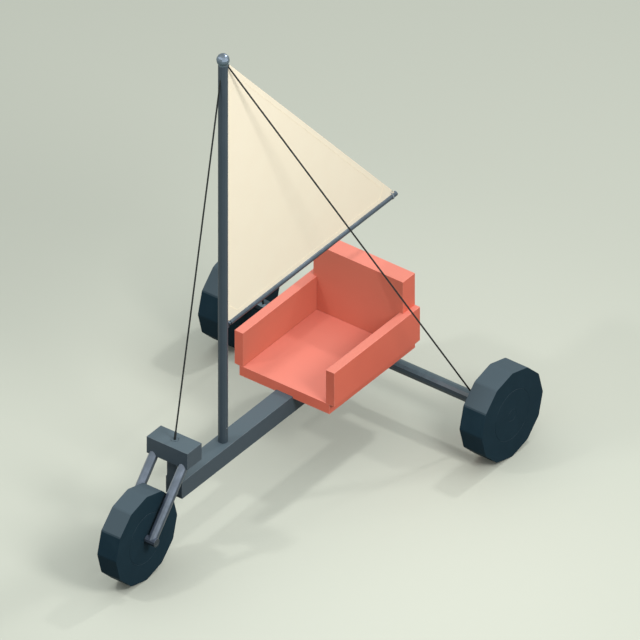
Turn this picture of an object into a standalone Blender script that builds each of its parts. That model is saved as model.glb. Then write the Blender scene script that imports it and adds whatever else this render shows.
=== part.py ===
"""Land yacht: a three-wheeled sand yacht with a bucket seat and a triangular sail.

Metres, +Z up, ground at Z = 0. The bow points along -Y and the driver's left is +X.
The origin is on the ground, in the middle of the yacht's footprint.
"""

import bmesh
import bpy
from math import asin, cos, pi, radians, sin, sqrt, tan
from mathutils import Matrix, Vector

# Clearances and fasteners
GAP = 0.0003  # between pieces that touch
BOLT_HEAD_R = 1.8  # times the shank's radius
BOLT_HEAD_H = 1.2
SIDES = (("left", 1), ("right", -1))

# Sides of the round pieces
TUBE_SIDES = 12  # the frame tubes have visible flats, with a corner on top
ROUND = 16
LARGE_ROUND = 24
SMALL_ROUND = 12

# Wheels
WHEEL_R = 0.200  # axle to the flat that stands on the ground
WHEEL_SIDES = 12
TREAD_FLAT = 0.007  # worn flat on each corner of the tread
FRONT_TYRE_W = 0.093
REAR_TYRE_W = 0.110
TYRE_WALL = 0.014
TREAD_T = 0.016
RIM_R = 0.112
RIM_WALL = 0.005
VALVE_HOLE_R = 0.008
HUB_WALL = 0.006

# Where the wheels and the mast stand
FRONT_AXLE_AHEAD = 0.562  # of the mast
REAR_AXLE_BEHIND = 0.965  # the mast
REAR_TRACK = 1.285  # between the middles of the rear tyres

# Front hub
FRONT_PIN_R = 0.006
FRONT_BEARING_R = 0.016
FRONT_BEARING_W = 0.010
FRONT_BEARING_INSET = 0.003
FRONT_SPACER_WALL = 0.0027

# Rear hub
SPINDLE_R = 0.0125
REAR_BEARING_R = 0.026
REAR_BEARING_W = 0.015
REAR_BEARING_INSET = 0.004  # of the inner bearing
SPINDLE_SEAT_R = 0.010  # of the outer bearing
SPINDLE_THREAD_R = 0.008
SPINDLE_NUT_R = 0.014
SPINDLE_NUT_H = 0.009
SPINDLE_NUT_INSET = 0.001  # under the hub cap
SPINDLE_SHOULDER_R = 0.017
HUB_CAP_PLATE = 0.003
HUB_CAP_SKIRT = 0.006

# Rear axle beam
AXLE_R = 0.0276  # to its corners
AXLE_BORE_R = 0.022
AXLE_END_GAP = 0.012  # from the axle beam's end to the tyre
SPINDLE_PLUG_L = 0.038
SPINDLE_FLANGE = 0.004
SPINDLE_FLANGE_R = 0.024

# Spine
BEAM_W = 0.080
BEAM_H = 0.080
BEAM_WALL = 0.004
BEAM_TOP = 0.330
BEAM_FRONT_AHEAD = 0.321  # of the mast
BEAM_REAR_BEHIND = 0.040  # the rear axle
END_CAP_T = 0.022

# Axle saddle and its bolts
SADDLE_LEN = 0.080  # along the spine
AXLE_BOLT_R = 0.005
AXLE_BOLT_X = 0.024
AXLE_NUT_H = 0.008

# Head
KINGPIN_AHEAD = 0.316  # of the mast
KINGPIN_R = 0.008
KINGPIN_HEAD_R = 0.015
KINGPIN_HEAD_H = 0.0075
KINGPIN_DEPTH = 0.070  # in the post
KINGPIN_PIN_R = 0.004
KINGPIN_PIN_UP = 0.014  # from the kingpin's tip
POST_W = 0.047
POST_FRONT_AHEAD = 0.020  # of the kingpin
POST_BACK_BEHIND = 0.026  # the kingpin
POST_TOP = 0.441
POST_TONGUE = 0.062  # laps down the end of the spine
BLOCK_W = 0.2012
BLOCK_D = 0.094
BLOCK_H = 0.078
BLOCK_AHEAD = 0.004  # middle of the block, ahead of the kingpin
BLOCK_SKIN = 0.010
BLOCK_WALL = 0.008
BLOCK_BOSS = 0.022  # half the width left solid round the kingpin
BUSH_WALL = 0.003
BUSH_FLANGE_T = 0.003
BUSH_FLANGE_R = 0.0155
BUSH_L = 0.026

# Fork
LEG_R = 0.0200
LEG_WALL = 0.003
LEG_X = 0.072
FORK_RAKE = radians(40.5)  # from upright
LEG_TOP = 0.390  # from the front axle, along the leg
LEG_BOSS = 0.0055  # solid round a leg in the block
LUG_R = 0.0185
LUG_END = 0.096
LUG_SIDE_GAP = 0.0015  # from the tyre
FRONT_PIN_HEAD_R = 0.0095
FRONT_PIN_HEAD_H = 0.009

# Mast and stays
MAST_R = 0.0200
MAST_WALL = 0.003
MAST_TOP = 2.152
BALL_R = 0.0268
BALL_UP = 0.023  # its middle, from the mast's top end
BALL_PLUG_L = 0.100
BALL_RINGS = 7
STEP_UP = 0.120  # of the step inside the mast
STEP_BOLT_R = 0.006
STEP_BOLT_L = 0.042
MAST_PIN_R = 0.003
MAST_PIN_UP = 0.070
STAY_R = 0.0032
STAY_END = 0.011  # from the mast's middle line to the top end of a stay
SWAGE_R = 0.0048
SWAGE_L = 0.040
SWAGE_SEAT = 0.005  # of the forestay's swage in the kingpin
SHROUD_INBOARD = 0.0515  # from the rear axle's end to where a shroud meets its middle line
SHROUD_FOOT_UP = 0.014  # from that line to the swage's lower end
BUTTON_R = 0.0080  # of the shroud's end inside the axle
BUTTON_H = 0.003

# Boom, gooseneck and sail
BOOM_Z = 0.878
BOOM_R = 0.0111
BOOM_BORE_R = 0.0088
PIVOT_BEHIND_MAST = 0.0095  # from the mast's skin to the gooseneck pin
BOOM_START = 0.014  # behind the gooseneck pin
GOOSENECK_PIN_R = 0.003
GOOSENECK_EAR_R = 0.007
GOOSENECK_EAR_T = 0.003
GOOSENECK_EYE_R = 0.0065
GOOSENECK_EYE_H = 0.019
GOOSENECK_SLACK = 0.0005
GOOSENECK_HEAD_R = 0.0042
GOOSENECK_HEAD_H = 0.008
BOOM_PLUG_L = 0.045
BOOM_END_T = 0.012  # solid at the rear end
LUFF_WIRE_R = 0.002
SLEEVE_R = 0.0045
SAIL_T = 0.0016
SAIL_FOOT_GAP = 0.0005
TACK_CUT = 0.010  # of the tack corner, from the pin
WIRE_SEAT = 0.005
CLEW_BEHIND = 1.121  # behind the mast
BOOM_PAST_CLEW = 0.010
TANG_W = 0.009
TANG_H = 0.012
TANG_BELOW_TOP = 0.014
EYELET_R = 0.0035
EYELET_FROM_CLEW = 0.018
EYELET_UP = 0.010
LASHING_R = 0.0015
LASHING_HALF = 0.004  # half its straight run through the eyelet
LASHING_FROM = radians(20)  # where it meets the boom, above level
LASHING_TURN = radians(220)  # round the boom
LASHING_POINTS = 13

# Seat
SEAT_FRONT = 0.402  # behind the mast
SEAT_L = 0.562
FLOOR_W = 0.442
FLOOR_T = 0.047
SEAT_SINK = 0.008  # of the spine into the floor's underside
PANEL_W = 0.490  # across the outer faces of the side panels
PANEL_T = 0.0415
PANEL_H = 0.160
BACK_W = 0.440
BACK_T = 0.079
BACK_H = 0.3125
SHELL = 0.006
SEAT_RIB = 0.024
FLOOR_SKIN = 0.008
SEAT_REBATE = 0.0015  # of the floor's edges, which the sides and the back stand in
FLOOR_STRIP = 0.055  # solid beside the spine
RAIL_LEG = 0.042
RAIL_T = 0.004
RAIL_INSET = 0.060  # from the floor's front and rear edges

# Places that follow from the sizes above
mast_y = (FRONT_AXLE_AHEAD - REAR_AXLE_BEHIND) / 2
front_y = mast_y - FRONT_AXLE_AHEAD
rear_y = mast_y + REAR_AXLE_BEHIND
axle_z = WHEEL_R
beam_bottom = BEAM_TOP - BEAM_H
beam_front = mast_y - BEAM_FRONT_AHEAD
beam_rear = rear_y + BEAM_REAR_BEHIND
kingpin_y = mast_y - KINGPIN_AHEAD
block_y = kingpin_y - BLOCK_AHEAD
block_bottom = POST_TOP + 2 * GAP
block_top = block_bottom + BLOCK_H
pivot_y = mast_y + MAST_R + PIVOT_BEHIND_MAST
seat_front = mast_y + SEAT_FRONT
seat_rear = seat_front + SEAT_L
floor_bottom = BEAM_TOP - SEAT_SINK + GAP
floor_top = floor_bottom + FLOOR_T
clew_y = mast_y + CLEW_BEHIND
ball_z = MAST_TOP + BALL_UP
ball = Vector((0, mast_y, ball_z))

# Finishes: colour, roughness, metallic
SLATE_PAINT = ((0.075, 0.095, 0.120), 0.50, 0.0)
BRIGHT_STEEL = ((0.300, 0.345, 0.385), 0.35, 0.8)
POLISHED = ((0.550, 0.600, 0.640), 0.15, 1.0)
CORAL = ((0.920, 0.230, 0.160), 0.60, 0.0)
SAILCLOTH = ((0.880, 0.780, 0.600), 0.85, 0.0)
TREAD_RUBBER = ((0.025, 0.040, 0.050), 0.80, 0.0)
DARK_WIRE = ((0.020, 0.024, 0.026), 0.50, 0.6)
BRONZE = ((0.450, 0.290, 0.120), 0.40, 1.0)
ZINC = ((0.450, 0.470, 0.480), 0.35, 0.9)


def wipe():
    for old in list(bpy.data.objects):
        bpy.data.objects.remove(old)


def collection(name):
    made = bpy.data.collections.new(name)
    bpy.context.scene.collection.children.link(made)
    return made


wipe()
parts = collection("land_yacht")
cutters = collection("cutters")


def finish(obj, look):
    colour, roughness, metallic = look
    material = bpy.data.materials.new(obj.name)
    material.use_nodes = True
    shader = material.node_tree.nodes["Principled BSDF"]
    shader.inputs["Base Color"].default_value = (*colour, 1.0)
    shader.inputs["Roughness"].default_value = roughness
    shader.inputs["Metallic"].default_value = metallic
    obj.data.materials.clear()
    obj.data.materials.append(material)


def add(name, data, look=None, place=None):
    """Adds an object: a part if it has a look, and otherwise a cutter."""
    obj = bpy.data.objects.new(name, data)
    if place is not None:
        obj.matrix_world = place
    if look is None:
        cutters.objects.link(obj)
        obj.hide_render = True
        obj.display_type = "WIRE"
    else:
        parts.objects.link(obj)
        finish(obj, look)
    return obj


def along(start, end):
    """A frame whose Z runs from start to end, with its origin halfway."""
    start = Vector(start)
    end = Vector(end)
    turn = (end - start).to_track_quat("Z", "Y").to_matrix().to_4x4()
    return Matrix.Translation((start + end) / 2) @ turn


def mesh_from(bm, name):
    mesh = bpy.data.meshes.new(name)
    bm.to_mesh(mesh)
    bm.free()
    return mesh


def round_shading(mesh):
    mesh.shade_smooth()
    mesh.set_sharp_from_angle(angle=radians(25))


def box(name, low, high, look=None):
    low = Vector(low)
    high = Vector(high)
    bm = bmesh.new()
    bmesh.ops.create_cube(bm, size=1.0)
    bmesh.ops.scale(bm, vec=high - low, verts=bm.verts)
    return add(name, mesh_from(bm, name), look, Matrix.Translation((low + high) / 2))


def rod(name, start, end, radius, look=None, sides=ROUND):
    bm = bmesh.new()
    length = (Vector(end) - Vector(start)).length
    bmesh.ops.create_cone(bm, cap_ends=True, segments=sides, radius1=radius, radius2=radius, depth=length)
    mesh = mesh_from(bm, name)
    round_shading(mesh)
    return add(name, mesh, look, along(start, end))


def turned(name, profile, base, axis, look=None, steps=ROUND):
    """Turns (radius, height) points about axis, with height 0 at base.

    The points run down the outer side. A profile that starts on the axis stays open there,
    and one that doesn't is closed into a ring.
    """
    bm = bmesh.new()
    points = [bm.verts.new((radius, 0, height)) for radius, height in profile]
    for first, second in zip(points, points[1:]):
        bm.edges.new((first, second))
    if profile[0][0] > 0:
        bm.edges.new((points[-1], points[0]))
    axis = Vector(axis)
    turn = axis.to_track_quat("Z", "Y").to_matrix().to_4x4()
    obj = add(name, mesh_from(bm, name), look, Matrix.Translation(Vector(base)) @ turn)
    screw = obj.modifiers.new("Turn", "SCREW")
    screw.steps = steps
    screw.render_steps = steps
    screw.use_merge_vertices = True
    screw.merge_threshold = 0.00001
    screw.use_smooth_shade = False
    return obj


def ring(name, inner, outer, start, end, look=None, steps=ROUND):
    start = Vector(start)
    end = Vector(end)
    length = (end - start).length
    profile = [(outer, length), (outer, 0), (inner, 0), (inner, length)]
    return turned(name, profile, start, end - start, look, steps)


def wire(name, points, radius, look, closed=False, fineness=2):
    curve = bpy.data.curves.new(name, "CURVE")
    curve.dimensions = "3D"
    curve.bevel_depth = radius
    curve.bevel_resolution = fineness
    curve.use_fill_caps = True
    spline = curve.splines.new("POLY")
    spline.points.add(len(points) - 1)
    for point, place in zip(spline.points, points):
        point.co = (*place, 1.0)
    spline.use_cyclic_u = closed
    return add(name, curve, look)


def plate(name, outline, thickness, look=None):
    """A flat plate in the plane X = 0 with an outline of (y, z) points."""
    curve = bpy.data.curves.new(name, "CURVE")
    curve.dimensions = "2D"
    curve.fill_mode = "BOTH"
    curve.extrude = thickness / 2
    spline = curve.splines.new("POLY")
    spline.points.add(len(outline) - 1)
    for point, (y, z) in zip(spline.points, outline):
        point.co = (y, z, 0, 1.0)
    spline.use_cyclic_u = True
    shape = bpy.data.objects.new(name, curve)
    cutters.objects.link(shape)
    bpy.context.view_layer.update()
    evaluated = shape.evaluated_get(bpy.context.evaluated_depsgraph_get())
    mesh = bpy.data.meshes.new_from_object(evaluated)
    bpy.data.objects.remove(shape)
    bm = bmesh.new()
    bm.from_mesh(mesh)
    bmesh.ops.remove_doubles(bm, verts=bm.verts, dist=0.00001)
    bm.to_mesh(mesh)
    bm.free()
    upright = Matrix(((0, 0, 1, 0), (1, 0, 0, 0), (0, 1, 0, 0), (0, 0, 0, 1)))
    return add(name, mesh, look, upright)


def combine(obj, other, operation):
    step = obj.modifiers.new(other.name, "BOOLEAN")
    step.operation = operation
    step.solver = "EXACT"
    step.object = other


def cut(obj, *tools):
    for tool in tools:
        combine(obj, tool, "DIFFERENCE")


def join(obj, *others):
    for other in others:
        combine(obj, other, "UNION")


def solid_wire(name, points, radius, look=None):
    """A wire turned into a mesh, so that other shapes can be joined to it."""
    curve = wire(name + "_path", points, radius, None)
    bpy.context.view_layer.update()
    mesh = bpy.data.meshes.new_from_object(curve.evaluated_get(bpy.context.evaluated_depsgraph_get()))
    place = curve.matrix_world.copy()
    bpy.data.objects.remove(curve)
    bm = bmesh.new()
    bm.from_mesh(mesh)
    bmesh.ops.remove_doubles(bm, verts=bm.verts, dist=0.00001)
    bm.to_mesh(mesh)
    bm.free()
    return add(name, mesh, look, place)


def pivot(name, place, parent=None):
    """An empty on a joint's axis."""
    empty = bpy.data.objects.new(name, None)
    empty.location = place
    parts.objects.link(empty)
    if parent is not None:
        hang([empty], parent)
    return empty


def hang(objects, empty):
    """Parents objects to an empty without moving them."""
    bpy.context.view_layer.update()
    for obj in objects:
        obj.parent = empty
        obj.matrix_parent_inverse = empty.matrix_world.inverted()


def hex_bolt(name, head, tip, radius, look):
    """A bolt whose head bears at head and whose shank ends at tip."""
    head = Vector(head)
    tip = Vector(tip)
    direction = (tip - head).normalized()
    bolt = rod(name, head - direction * radius / 2, tip, radius, look, sides=SMALL_ROUND)
    join(
        bolt,
        rod(name + "_head", head - direction * radius * BOLT_HEAD_H, head, radius * BOLT_HEAD_R, sides=6),
    )
    return bolt


# Spine: a square steel tube, closed at both ends by plugs
spine = box(
    "spine_beam",
    (-BEAM_W / 2, beam_front, beam_bottom),
    (BEAM_W / 2, beam_rear, BEAM_TOP),
    SLATE_PAINT,
)
cut(
    spine,
    box(
        "spine_bore",
        (-BEAM_W / 2 + BEAM_WALL, beam_front - BEAM_WALL, beam_bottom + BEAM_WALL),
        (BEAM_W / 2 - BEAM_WALL, beam_rear + BEAM_WALL, BEAM_TOP - BEAM_WALL),
    ),
)
plug_x = BEAM_W / 2 - BEAM_WALL - GAP
plug_low = beam_bottom + BEAM_WALL + GAP
plug_high = BEAM_TOP - BEAM_WALL - GAP
for end, near in (("front", beam_front), ("rear", beam_rear - END_CAP_T)):
    box(f"spine_{end}_cap", (-plug_x, near, plug_low), (plug_x, near + END_CAP_T, plug_high), SLATE_PAINT)

# Head post: stands on the spine's front end and laps down over it
post_front = kingpin_y - POST_FRONT_AHEAD
post_back = kingpin_y + POST_BACK_BEHIND
tongue_bottom = BEAM_TOP - POST_TONGUE
head_post = box(
    "head_post",
    (-POST_W / 2, post_front, tongue_bottom),
    (POST_W / 2, post_back, POST_TOP),
    SLATE_PAINT,
)
cut(
    head_post,
    box(
        "post_notch",
        (-POST_W, beam_front - GAP, tongue_bottom - POST_W),
        (POST_W, post_back + POST_W, BEAM_TOP + GAP),
    ),
)

# Kingpin: a fixed pin that the head block turns on, held in the post by a cross pin
kingpin_tip = POST_TOP - KINGPIN_DEPTH + GAP
kingpin = turned(
    "kingpin",
    [
        (0, block_top),
        (KINGPIN_HEAD_R, block_top),
        (KINGPIN_HEAD_R, block_top - KINGPIN_HEAD_H),
        (KINGPIN_R, block_top - KINGPIN_HEAD_H),
        (KINGPIN_R, kingpin_tip),
        (0, kingpin_tip),
    ],
    (0, kingpin_y, 0),
    (0, 0, 1),
    SLATE_PAINT,
)
cut(
    head_post,
    rod(
        "kingpin_bore",
        (0, kingpin_y, kingpin_tip - GAP),
        (0, kingpin_y, POST_TOP + POST_W),
        KINGPIN_R + GAP,
    ),
)
pin_z = kingpin_tip + KINGPIN_PIN_UP
kingpin_pin = rod(
    "kingpin_cross_pin",
    (-POST_W / 2, kingpin_y, pin_z),
    (POST_W / 2, kingpin_y, pin_z),
    KINGPIN_PIN_R,
    ZINC,
    sides=SMALL_ROUND,
)
pin_hole = rod(
    "cross_pin_hole",
    (-POST_W, kingpin_y, pin_z),
    (POST_W, kingpin_y, pin_z),
    KINGPIN_PIN_R + GAP,
    sides=SMALL_ROUND,
)
cut(head_post, pin_hole)
cut(kingpin, pin_hole)

# Head block: turns on the kingpin, with a bronze bush at each end of its bore
bush_r = KINGPIN_R + GAP + BUSH_WALL
upper_flange = block_top - KINGPIN_HEAD_H - GAP
lower_flange = POST_TOP + GAP
seat_r = BUSH_FLANGE_R + GAP
upper_seat = upper_flange - BUSH_FLANGE_T - GAP
lower_seat = lower_flange + BUSH_FLANGE_T + GAP
head_block = box(
    "head_block",
    (-BLOCK_W / 2, block_y - BLOCK_D / 2, block_bottom),
    (BLOCK_W / 2, block_y + BLOCK_D / 2, block_top),
    SLATE_PAINT,
)
cut(
    head_block,
    turned(
        "block_bore",
        [
            (0, block_top + BLOCK_SKIN),
            (seat_r, block_top + BLOCK_SKIN),
            (seat_r, upper_seat),
            (bush_r + GAP, upper_seat),
            (bush_r + GAP, lower_seat),
            (seat_r, lower_seat),
            (seat_r, block_bottom - BLOCK_SKIN),
            (0, block_bottom - BLOCK_SKIN),
        ],
        (0, kingpin_y, 0),
        (0, 0, 1),
    ),
)
for label, side in SIDES:
    inner = side * BLOCK_BOSS
    outer = side * (LEG_X - LEG_R - LEG_BOSS)
    pocket = box(
        f"block_pocket_{label}",
        (min(inner, outer), block_y - BLOCK_D / 2 + BLOCK_WALL, block_bottom - BLOCK_SKIN),
        (max(inner, outer), block_y + BLOCK_D / 2 - BLOCK_WALL, block_top - BLOCK_SKIN),
    )
    cut(head_block, pocket)
upper_bush = turned(
    "head_bush_upper",
    [
        (BUSH_FLANGE_R, upper_flange),
        (BUSH_FLANGE_R, upper_flange - BUSH_FLANGE_T),
        (bush_r, upper_flange - BUSH_FLANGE_T),
        (bush_r, upper_flange - BUSH_FLANGE_T - BUSH_L),
        (KINGPIN_R + GAP, upper_flange - BUSH_FLANGE_T - BUSH_L),
        (KINGPIN_R + GAP, upper_flange),
    ],
    (0, kingpin_y, 0),
    (0, 0, 1),
    BRONZE,
)
lower_bush = turned(
    "head_bush_lower",
    [
        (bush_r, lower_flange + BUSH_FLANGE_T + BUSH_L),
        (bush_r, lower_flange + BUSH_FLANGE_T),
        (BUSH_FLANGE_R, lower_flange + BUSH_FLANGE_T),
        (BUSH_FLANGE_R, lower_flange),
        (KINGPIN_R + GAP, lower_flange),
        (KINGPIN_R + GAP, lower_flange + BUSH_FLANGE_T + BUSH_L),
    ],
    (0, kingpin_y, 0),
    (0, 0, 1),
    BRONZE,
)

# Fork: two raked tubes from sockets in the block down to the axle lugs, notched to sit on them
rake = Vector((0, sin(FORK_RAKE), cos(FORK_RAKE)))
lug_start = FRONT_TYRE_W / 2 + LUG_SIDE_GAP
front_bearing_out = FRONT_TYRE_W / 2 - FRONT_BEARING_INSET
front_bearing_in = front_bearing_out - FRONT_BEARING_W
spacer_r = FRONT_PIN_R + GAP + FRONT_SPACER_WALL
steering = [head_block, upper_bush, lower_bush]
for label, side in SIDES:
    out = Vector((side, 0, 0))
    foot = Vector((side * LEG_X, front_y, axle_z))
    near = Vector((side * lug_start, front_y, axle_z))
    far = Vector((side * LUG_END, front_y, axle_z))
    leg = rod(f"fork_leg_{label}", foot, foot + rake * LEG_TOP, LEG_R, BRIGHT_STEEL, sides=TUBE_SIDES)
    cut(
        leg,
        rod(f"leg_bore_{label}", foot - rake * LEG_TOP, foot + rake * 2 * LEG_TOP, LEG_R - LEG_WALL),
        rod(f"leg_notch_{label}", near - out * LUG_R, far + out * LUG_R, LUG_R + GAP, sides=TUBE_SIDES),
    )
    socket_top = foot + rake * (LEG_TOP + GAP)
    cut(
        head_block,
        rod(f"leg_socket_{label}", foot + rake * LEG_TOP / 2, socket_top, LEG_R + GAP, sides=TUBE_SIDES),
    )
    lug = rod(f"front_axle_lug_{label}", near, far, LUG_R, BRIGHT_STEEL, sides=TUBE_SIDES)
    boss_end = Vector((side * (front_bearing_out + GAP), front_y, axle_z))
    join(lug, rod(f"lug_boss_{label}", boss_end, near + out * LUG_R / 2, spacer_r))
    counterbore = rod(
        f"lug_counterbore_{label}",
        far - out * (FRONT_PIN_HEAD_H + GAP),
        far + out * LUG_R,
        FRONT_PIN_HEAD_R + GAP,
    )
    cut(
        lug,
        rod(f"lug_bore_{label}", near - out * LUG_R, far + out * LUG_R, FRONT_PIN_R + GAP),
        counterbore,
    )
    steering += [leg, lug]

# Front axle: a bolt through both lugs, with its spacers and nut
axle_middle = Vector((0, front_y, axle_z))
front_axle_bolt = turned(
    "front_axle_bolt",
    [
        (0, LUG_END),
        (FRONT_PIN_HEAD_R, LUG_END),
        (FRONT_PIN_HEAD_R, LUG_END - FRONT_PIN_HEAD_H),
        (FRONT_PIN_R, LUG_END - FRONT_PIN_HEAD_H),
        (FRONT_PIN_R, -LUG_END),
        (0, -LUG_END),
    ],
    axle_middle,
    (1, 0, 0),
    ZINC,
)
front_axle_nut = ring(
    "front_axle_nut",
    FRONT_PIN_R + GAP,
    FRONT_PIN_HEAD_R,
    axle_middle - Vector((LUG_END, 0, 0)),
    axle_middle - Vector((LUG_END - FRONT_PIN_HEAD_H, 0, 0)),
    ZINC,
)
sleeve_half = Vector((front_bearing_in - GAP, 0, 0))
front_sleeve = ring(
    "front_axle_sleeve",
    FRONT_PIN_R + GAP,
    spacer_r,
    axle_middle - sleeve_half,
    axle_middle + sleeve_half,
    ZINC,
)
steering += [front_axle_bolt, front_axle_nut, front_sleeve]


def tyre(name, middle, width):
    """A twelve-sided tyre, hollow inside, with a narrow flat along each corner."""
    bm = bmesh.new()
    corner = WHEEL_R + TREAD_FLAT / 2 * tan(pi / WHEEL_SIDES)
    bmesh.ops.create_cone(
        bm, cap_ends=True, segments=WHEEL_SIDES, radius1=corner, radius2=corner, depth=width
    )
    across = [edge for edge in bm.edges if abs(edge.verts[0].co.z - edge.verts[1].co.z) > width / 2]
    bmesh.ops.bevel(bm, geom=across, offset=TREAD_FLAT, offset_type="WIDTH", segments=1, affect="EDGES")
    side = Vector((width / 2, 0, 0))
    made = add(name, mesh_from(bm, name), TREAD_RUBBER, along(middle - side, middle + side))
    bore = RIM_R + GAP
    air = WHEEL_R * cos(pi / WHEEL_SIDES) - TREAD_T
    cheek = width / 2 - TYRE_WALL
    profile = [(0, width), (bore, width), (bore, cheek), (air, cheek)]
    profile += [(radius, -height) for radius, height in reversed(profile)]
    cut(made, turned(name + "_inside", profile, middle, (1, 0, 0), steps=LARGE_ROUND))
    return made


def rim(name, middle, width, hub, inward):
    """A hollow moulded rim, with a hole for the valve in its inward face."""
    face = width / 2
    inside = face - RIM_WALL
    solid = [(RIM_R, face), (RIM_R, -face), (hub, -face), (hub, face)]
    made = turned(name, solid, middle, (1, 0, 0), TREAD_RUBBER, LARGE_ROUND)
    low = hub + HUB_WALL
    high = RIM_R - RIM_WALL
    hollow = [(high, inside), (high, -inside), (low, -inside), (low, inside)]
    valve = middle + Vector((0, 0, (low + high) / 2))
    cut(
        made,
        turned(name + "_hollow", hollow, middle, (1, 0, 0), steps=LARGE_ROUND),
        rod(name + "_valve_hole", valve, valve + inward * width, VALVE_HOLE_R, sides=SMALL_ROUND),
    )
    return made


# Front wheel
front_wheel = [
    tyre("front_tyre", axle_middle, FRONT_TYRE_W),
    rim("front_rim", axle_middle, FRONT_TYRE_W, FRONT_BEARING_R + GAP, Vector((-1, 0, 0))),
]
for label, side in SIDES:
    out = Vector((side, 0, 0))
    start = axle_middle + out * front_bearing_in
    end = axle_middle + out * front_bearing_out
    front_wheel.append(ring(f"front_bearing_{label}", FRONT_PIN_R + GAP, FRONT_BEARING_R, start, end, ZINC))

# Rear axle: a twelve-sided tube with a turned spindle plugged into each end
axle_end = REAR_TRACK / 2 - REAR_TYRE_W / 2 - AXLE_END_GAP
rear_axle = rod(
    "rear_axle",
    (-axle_end, rear_y, axle_z),
    (axle_end, rear_y, axle_z),
    AXLE_R,
    BRIGHT_STEEL,
    sides=TUBE_SIDES,
)
cut(
    rear_axle,
    rod(
        "axle_bore",
        (-axle_end - AXLE_R, rear_y, axle_z),
        (axle_end + AXLE_R, rear_y, axle_z),
        AXLE_BORE_R,
    ),
)
rear_half = REAR_TYRE_W / 2
nut_out = rear_half - HUB_CAP_PLATE - SPINDLE_NUT_INSET
nut_in = nut_out - SPINDLE_NUT_H
outer_bearing = (nut_in - GAP - REAR_BEARING_W, nut_in - GAP)
inner_bearing = (-rear_half + REAR_BEARING_INSET, -rear_half + REAR_BEARING_INSET + REAR_BEARING_W)
end_plane = -rear_half - AXLE_END_GAP
rear_wheels = {}
for label, side in SIDES:
    middle = Vector((side * REAR_TRACK / 2, rear_y, axle_z))
    out = Vector((side, 0, 0))
    turned(
        f"rear_spindle_{label}",
        [
            (0, nut_out),
            (SPINDLE_THREAD_R, nut_out),
            (SPINDLE_THREAD_R, outer_bearing[1]),
            (SPINDLE_SEAT_R, outer_bearing[1]),
            (SPINDLE_SEAT_R, outer_bearing[0] - GAP),
            (SPINDLE_R, outer_bearing[0] - GAP),
            (SPINDLE_R, inner_bearing[0] - GAP),
            (SPINDLE_SHOULDER_R, inner_bearing[0] - GAP),
            (SPINDLE_SHOULDER_R, end_plane + SPINDLE_FLANGE),
            (SPINDLE_FLANGE_R, end_plane + SPINDLE_FLANGE),
            (SPINDLE_FLANGE_R, end_plane + GAP),
            (AXLE_BORE_R - 2 * GAP, end_plane + GAP),
            (AXLE_BORE_R - 2 * GAP, end_plane - SPINDLE_PLUG_L),
            (0, end_plane - SPINDLE_PLUG_L),
        ],
        middle,
        out,
        BRIGHT_STEEL,
    )
    nut = rod(
        f"spindle_nut_{label}",
        middle + out * nut_in,
        middle + out * nut_out,
        SPINDLE_NUT_R,
        ZINC,
        sides=6,
    )
    cut(nut, rod(f"nut_bore_{label}", middle, middle + out * REAR_TYRE_W, SPINDLE_THREAD_R + GAP))
    cap_r = REAR_BEARING_R
    hub_cap = turned(
        f"rear_hub_cap_{label}",
        [
            (0, rear_half),
            (cap_r, rear_half),
            (cap_r, rear_half - HUB_CAP_SKIRT),
            (cap_r - HUB_CAP_PLATE, rear_half - HUB_CAP_SKIRT),
            (cap_r - HUB_CAP_PLATE, rear_half - HUB_CAP_PLATE),
            (0, rear_half - HUB_CAP_PLATE),
        ],
        middle,
        out,
        TREAD_RUBBER,
    )
    rear_wheels[label] = [
        tyre(f"rear_tyre_{label}", middle, REAR_TYRE_W),
        rim(f"rear_rim_{label}", middle, REAR_TYRE_W, REAR_BEARING_R + GAP, -out),
        hub_cap,
    ]
    for place, (start, end), seat in (
        ("inner", inner_bearing, SPINDLE_R),
        ("outer", outer_bearing, SPINDLE_SEAT_R),
    ):
        name = f"rear_bearing_{place}_{label}"
        rear_wheels[label].append(
            ring(name, seat + GAP, REAR_BEARING_R, middle + out * start, middle + out * end, ZINC),
        )

# Axle saddle: a block under the spine that the axle sits up into
axle_saddle = box(
    "axle_saddle",
    (-BEAM_W / 2, rear_y - SADDLE_LEN / 2, axle_z),
    (BEAM_W / 2, rear_y + SADDLE_LEN / 2, beam_bottom - GAP),
    SLATE_PAINT,
)
saddle_seat = rod(
    "saddle_seat",
    (-BEAM_W, rear_y, axle_z),
    (BEAM_W, rear_y, axle_z),
    AXLE_R + GAP,
    sides=TUBE_SIDES,
)
cut(axle_saddle, saddle_seat)

# Axle bolts: up through the axle, the saddle and the spine's floor, each with its nut
wall_top = beam_bottom + BEAM_WALL
nut_low = wall_top + GAP
nut_high = nut_low + AXLE_NUT_H
for label, side in SIDES:
    x = side * AXLE_BOLT_X
    head = Vector((x, rear_y, axle_z - AXLE_R - GAP))
    tip = Vector((x, rear_y, nut_high + AXLE_BOLT_R))
    axle_bolt = hex_bolt(f"axle_bolt_{label}", head, tip, AXLE_BOLT_R, ZINC)
    nut_r = AXLE_BOLT_R * BOLT_HEAD_R
    join(axle_bolt, rod(f"axle_nut_{label}", (x, rear_y, nut_low), (x, rear_y, nut_high), nut_r, sides=6))
    hole = rod(f"axle_bolt_hole_{label}", head, tip, AXLE_BOLT_R + GAP, sides=SMALL_ROUND)
    for piece in (rear_axle, axle_saddle, spine):
        cut(piece, hole)

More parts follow.
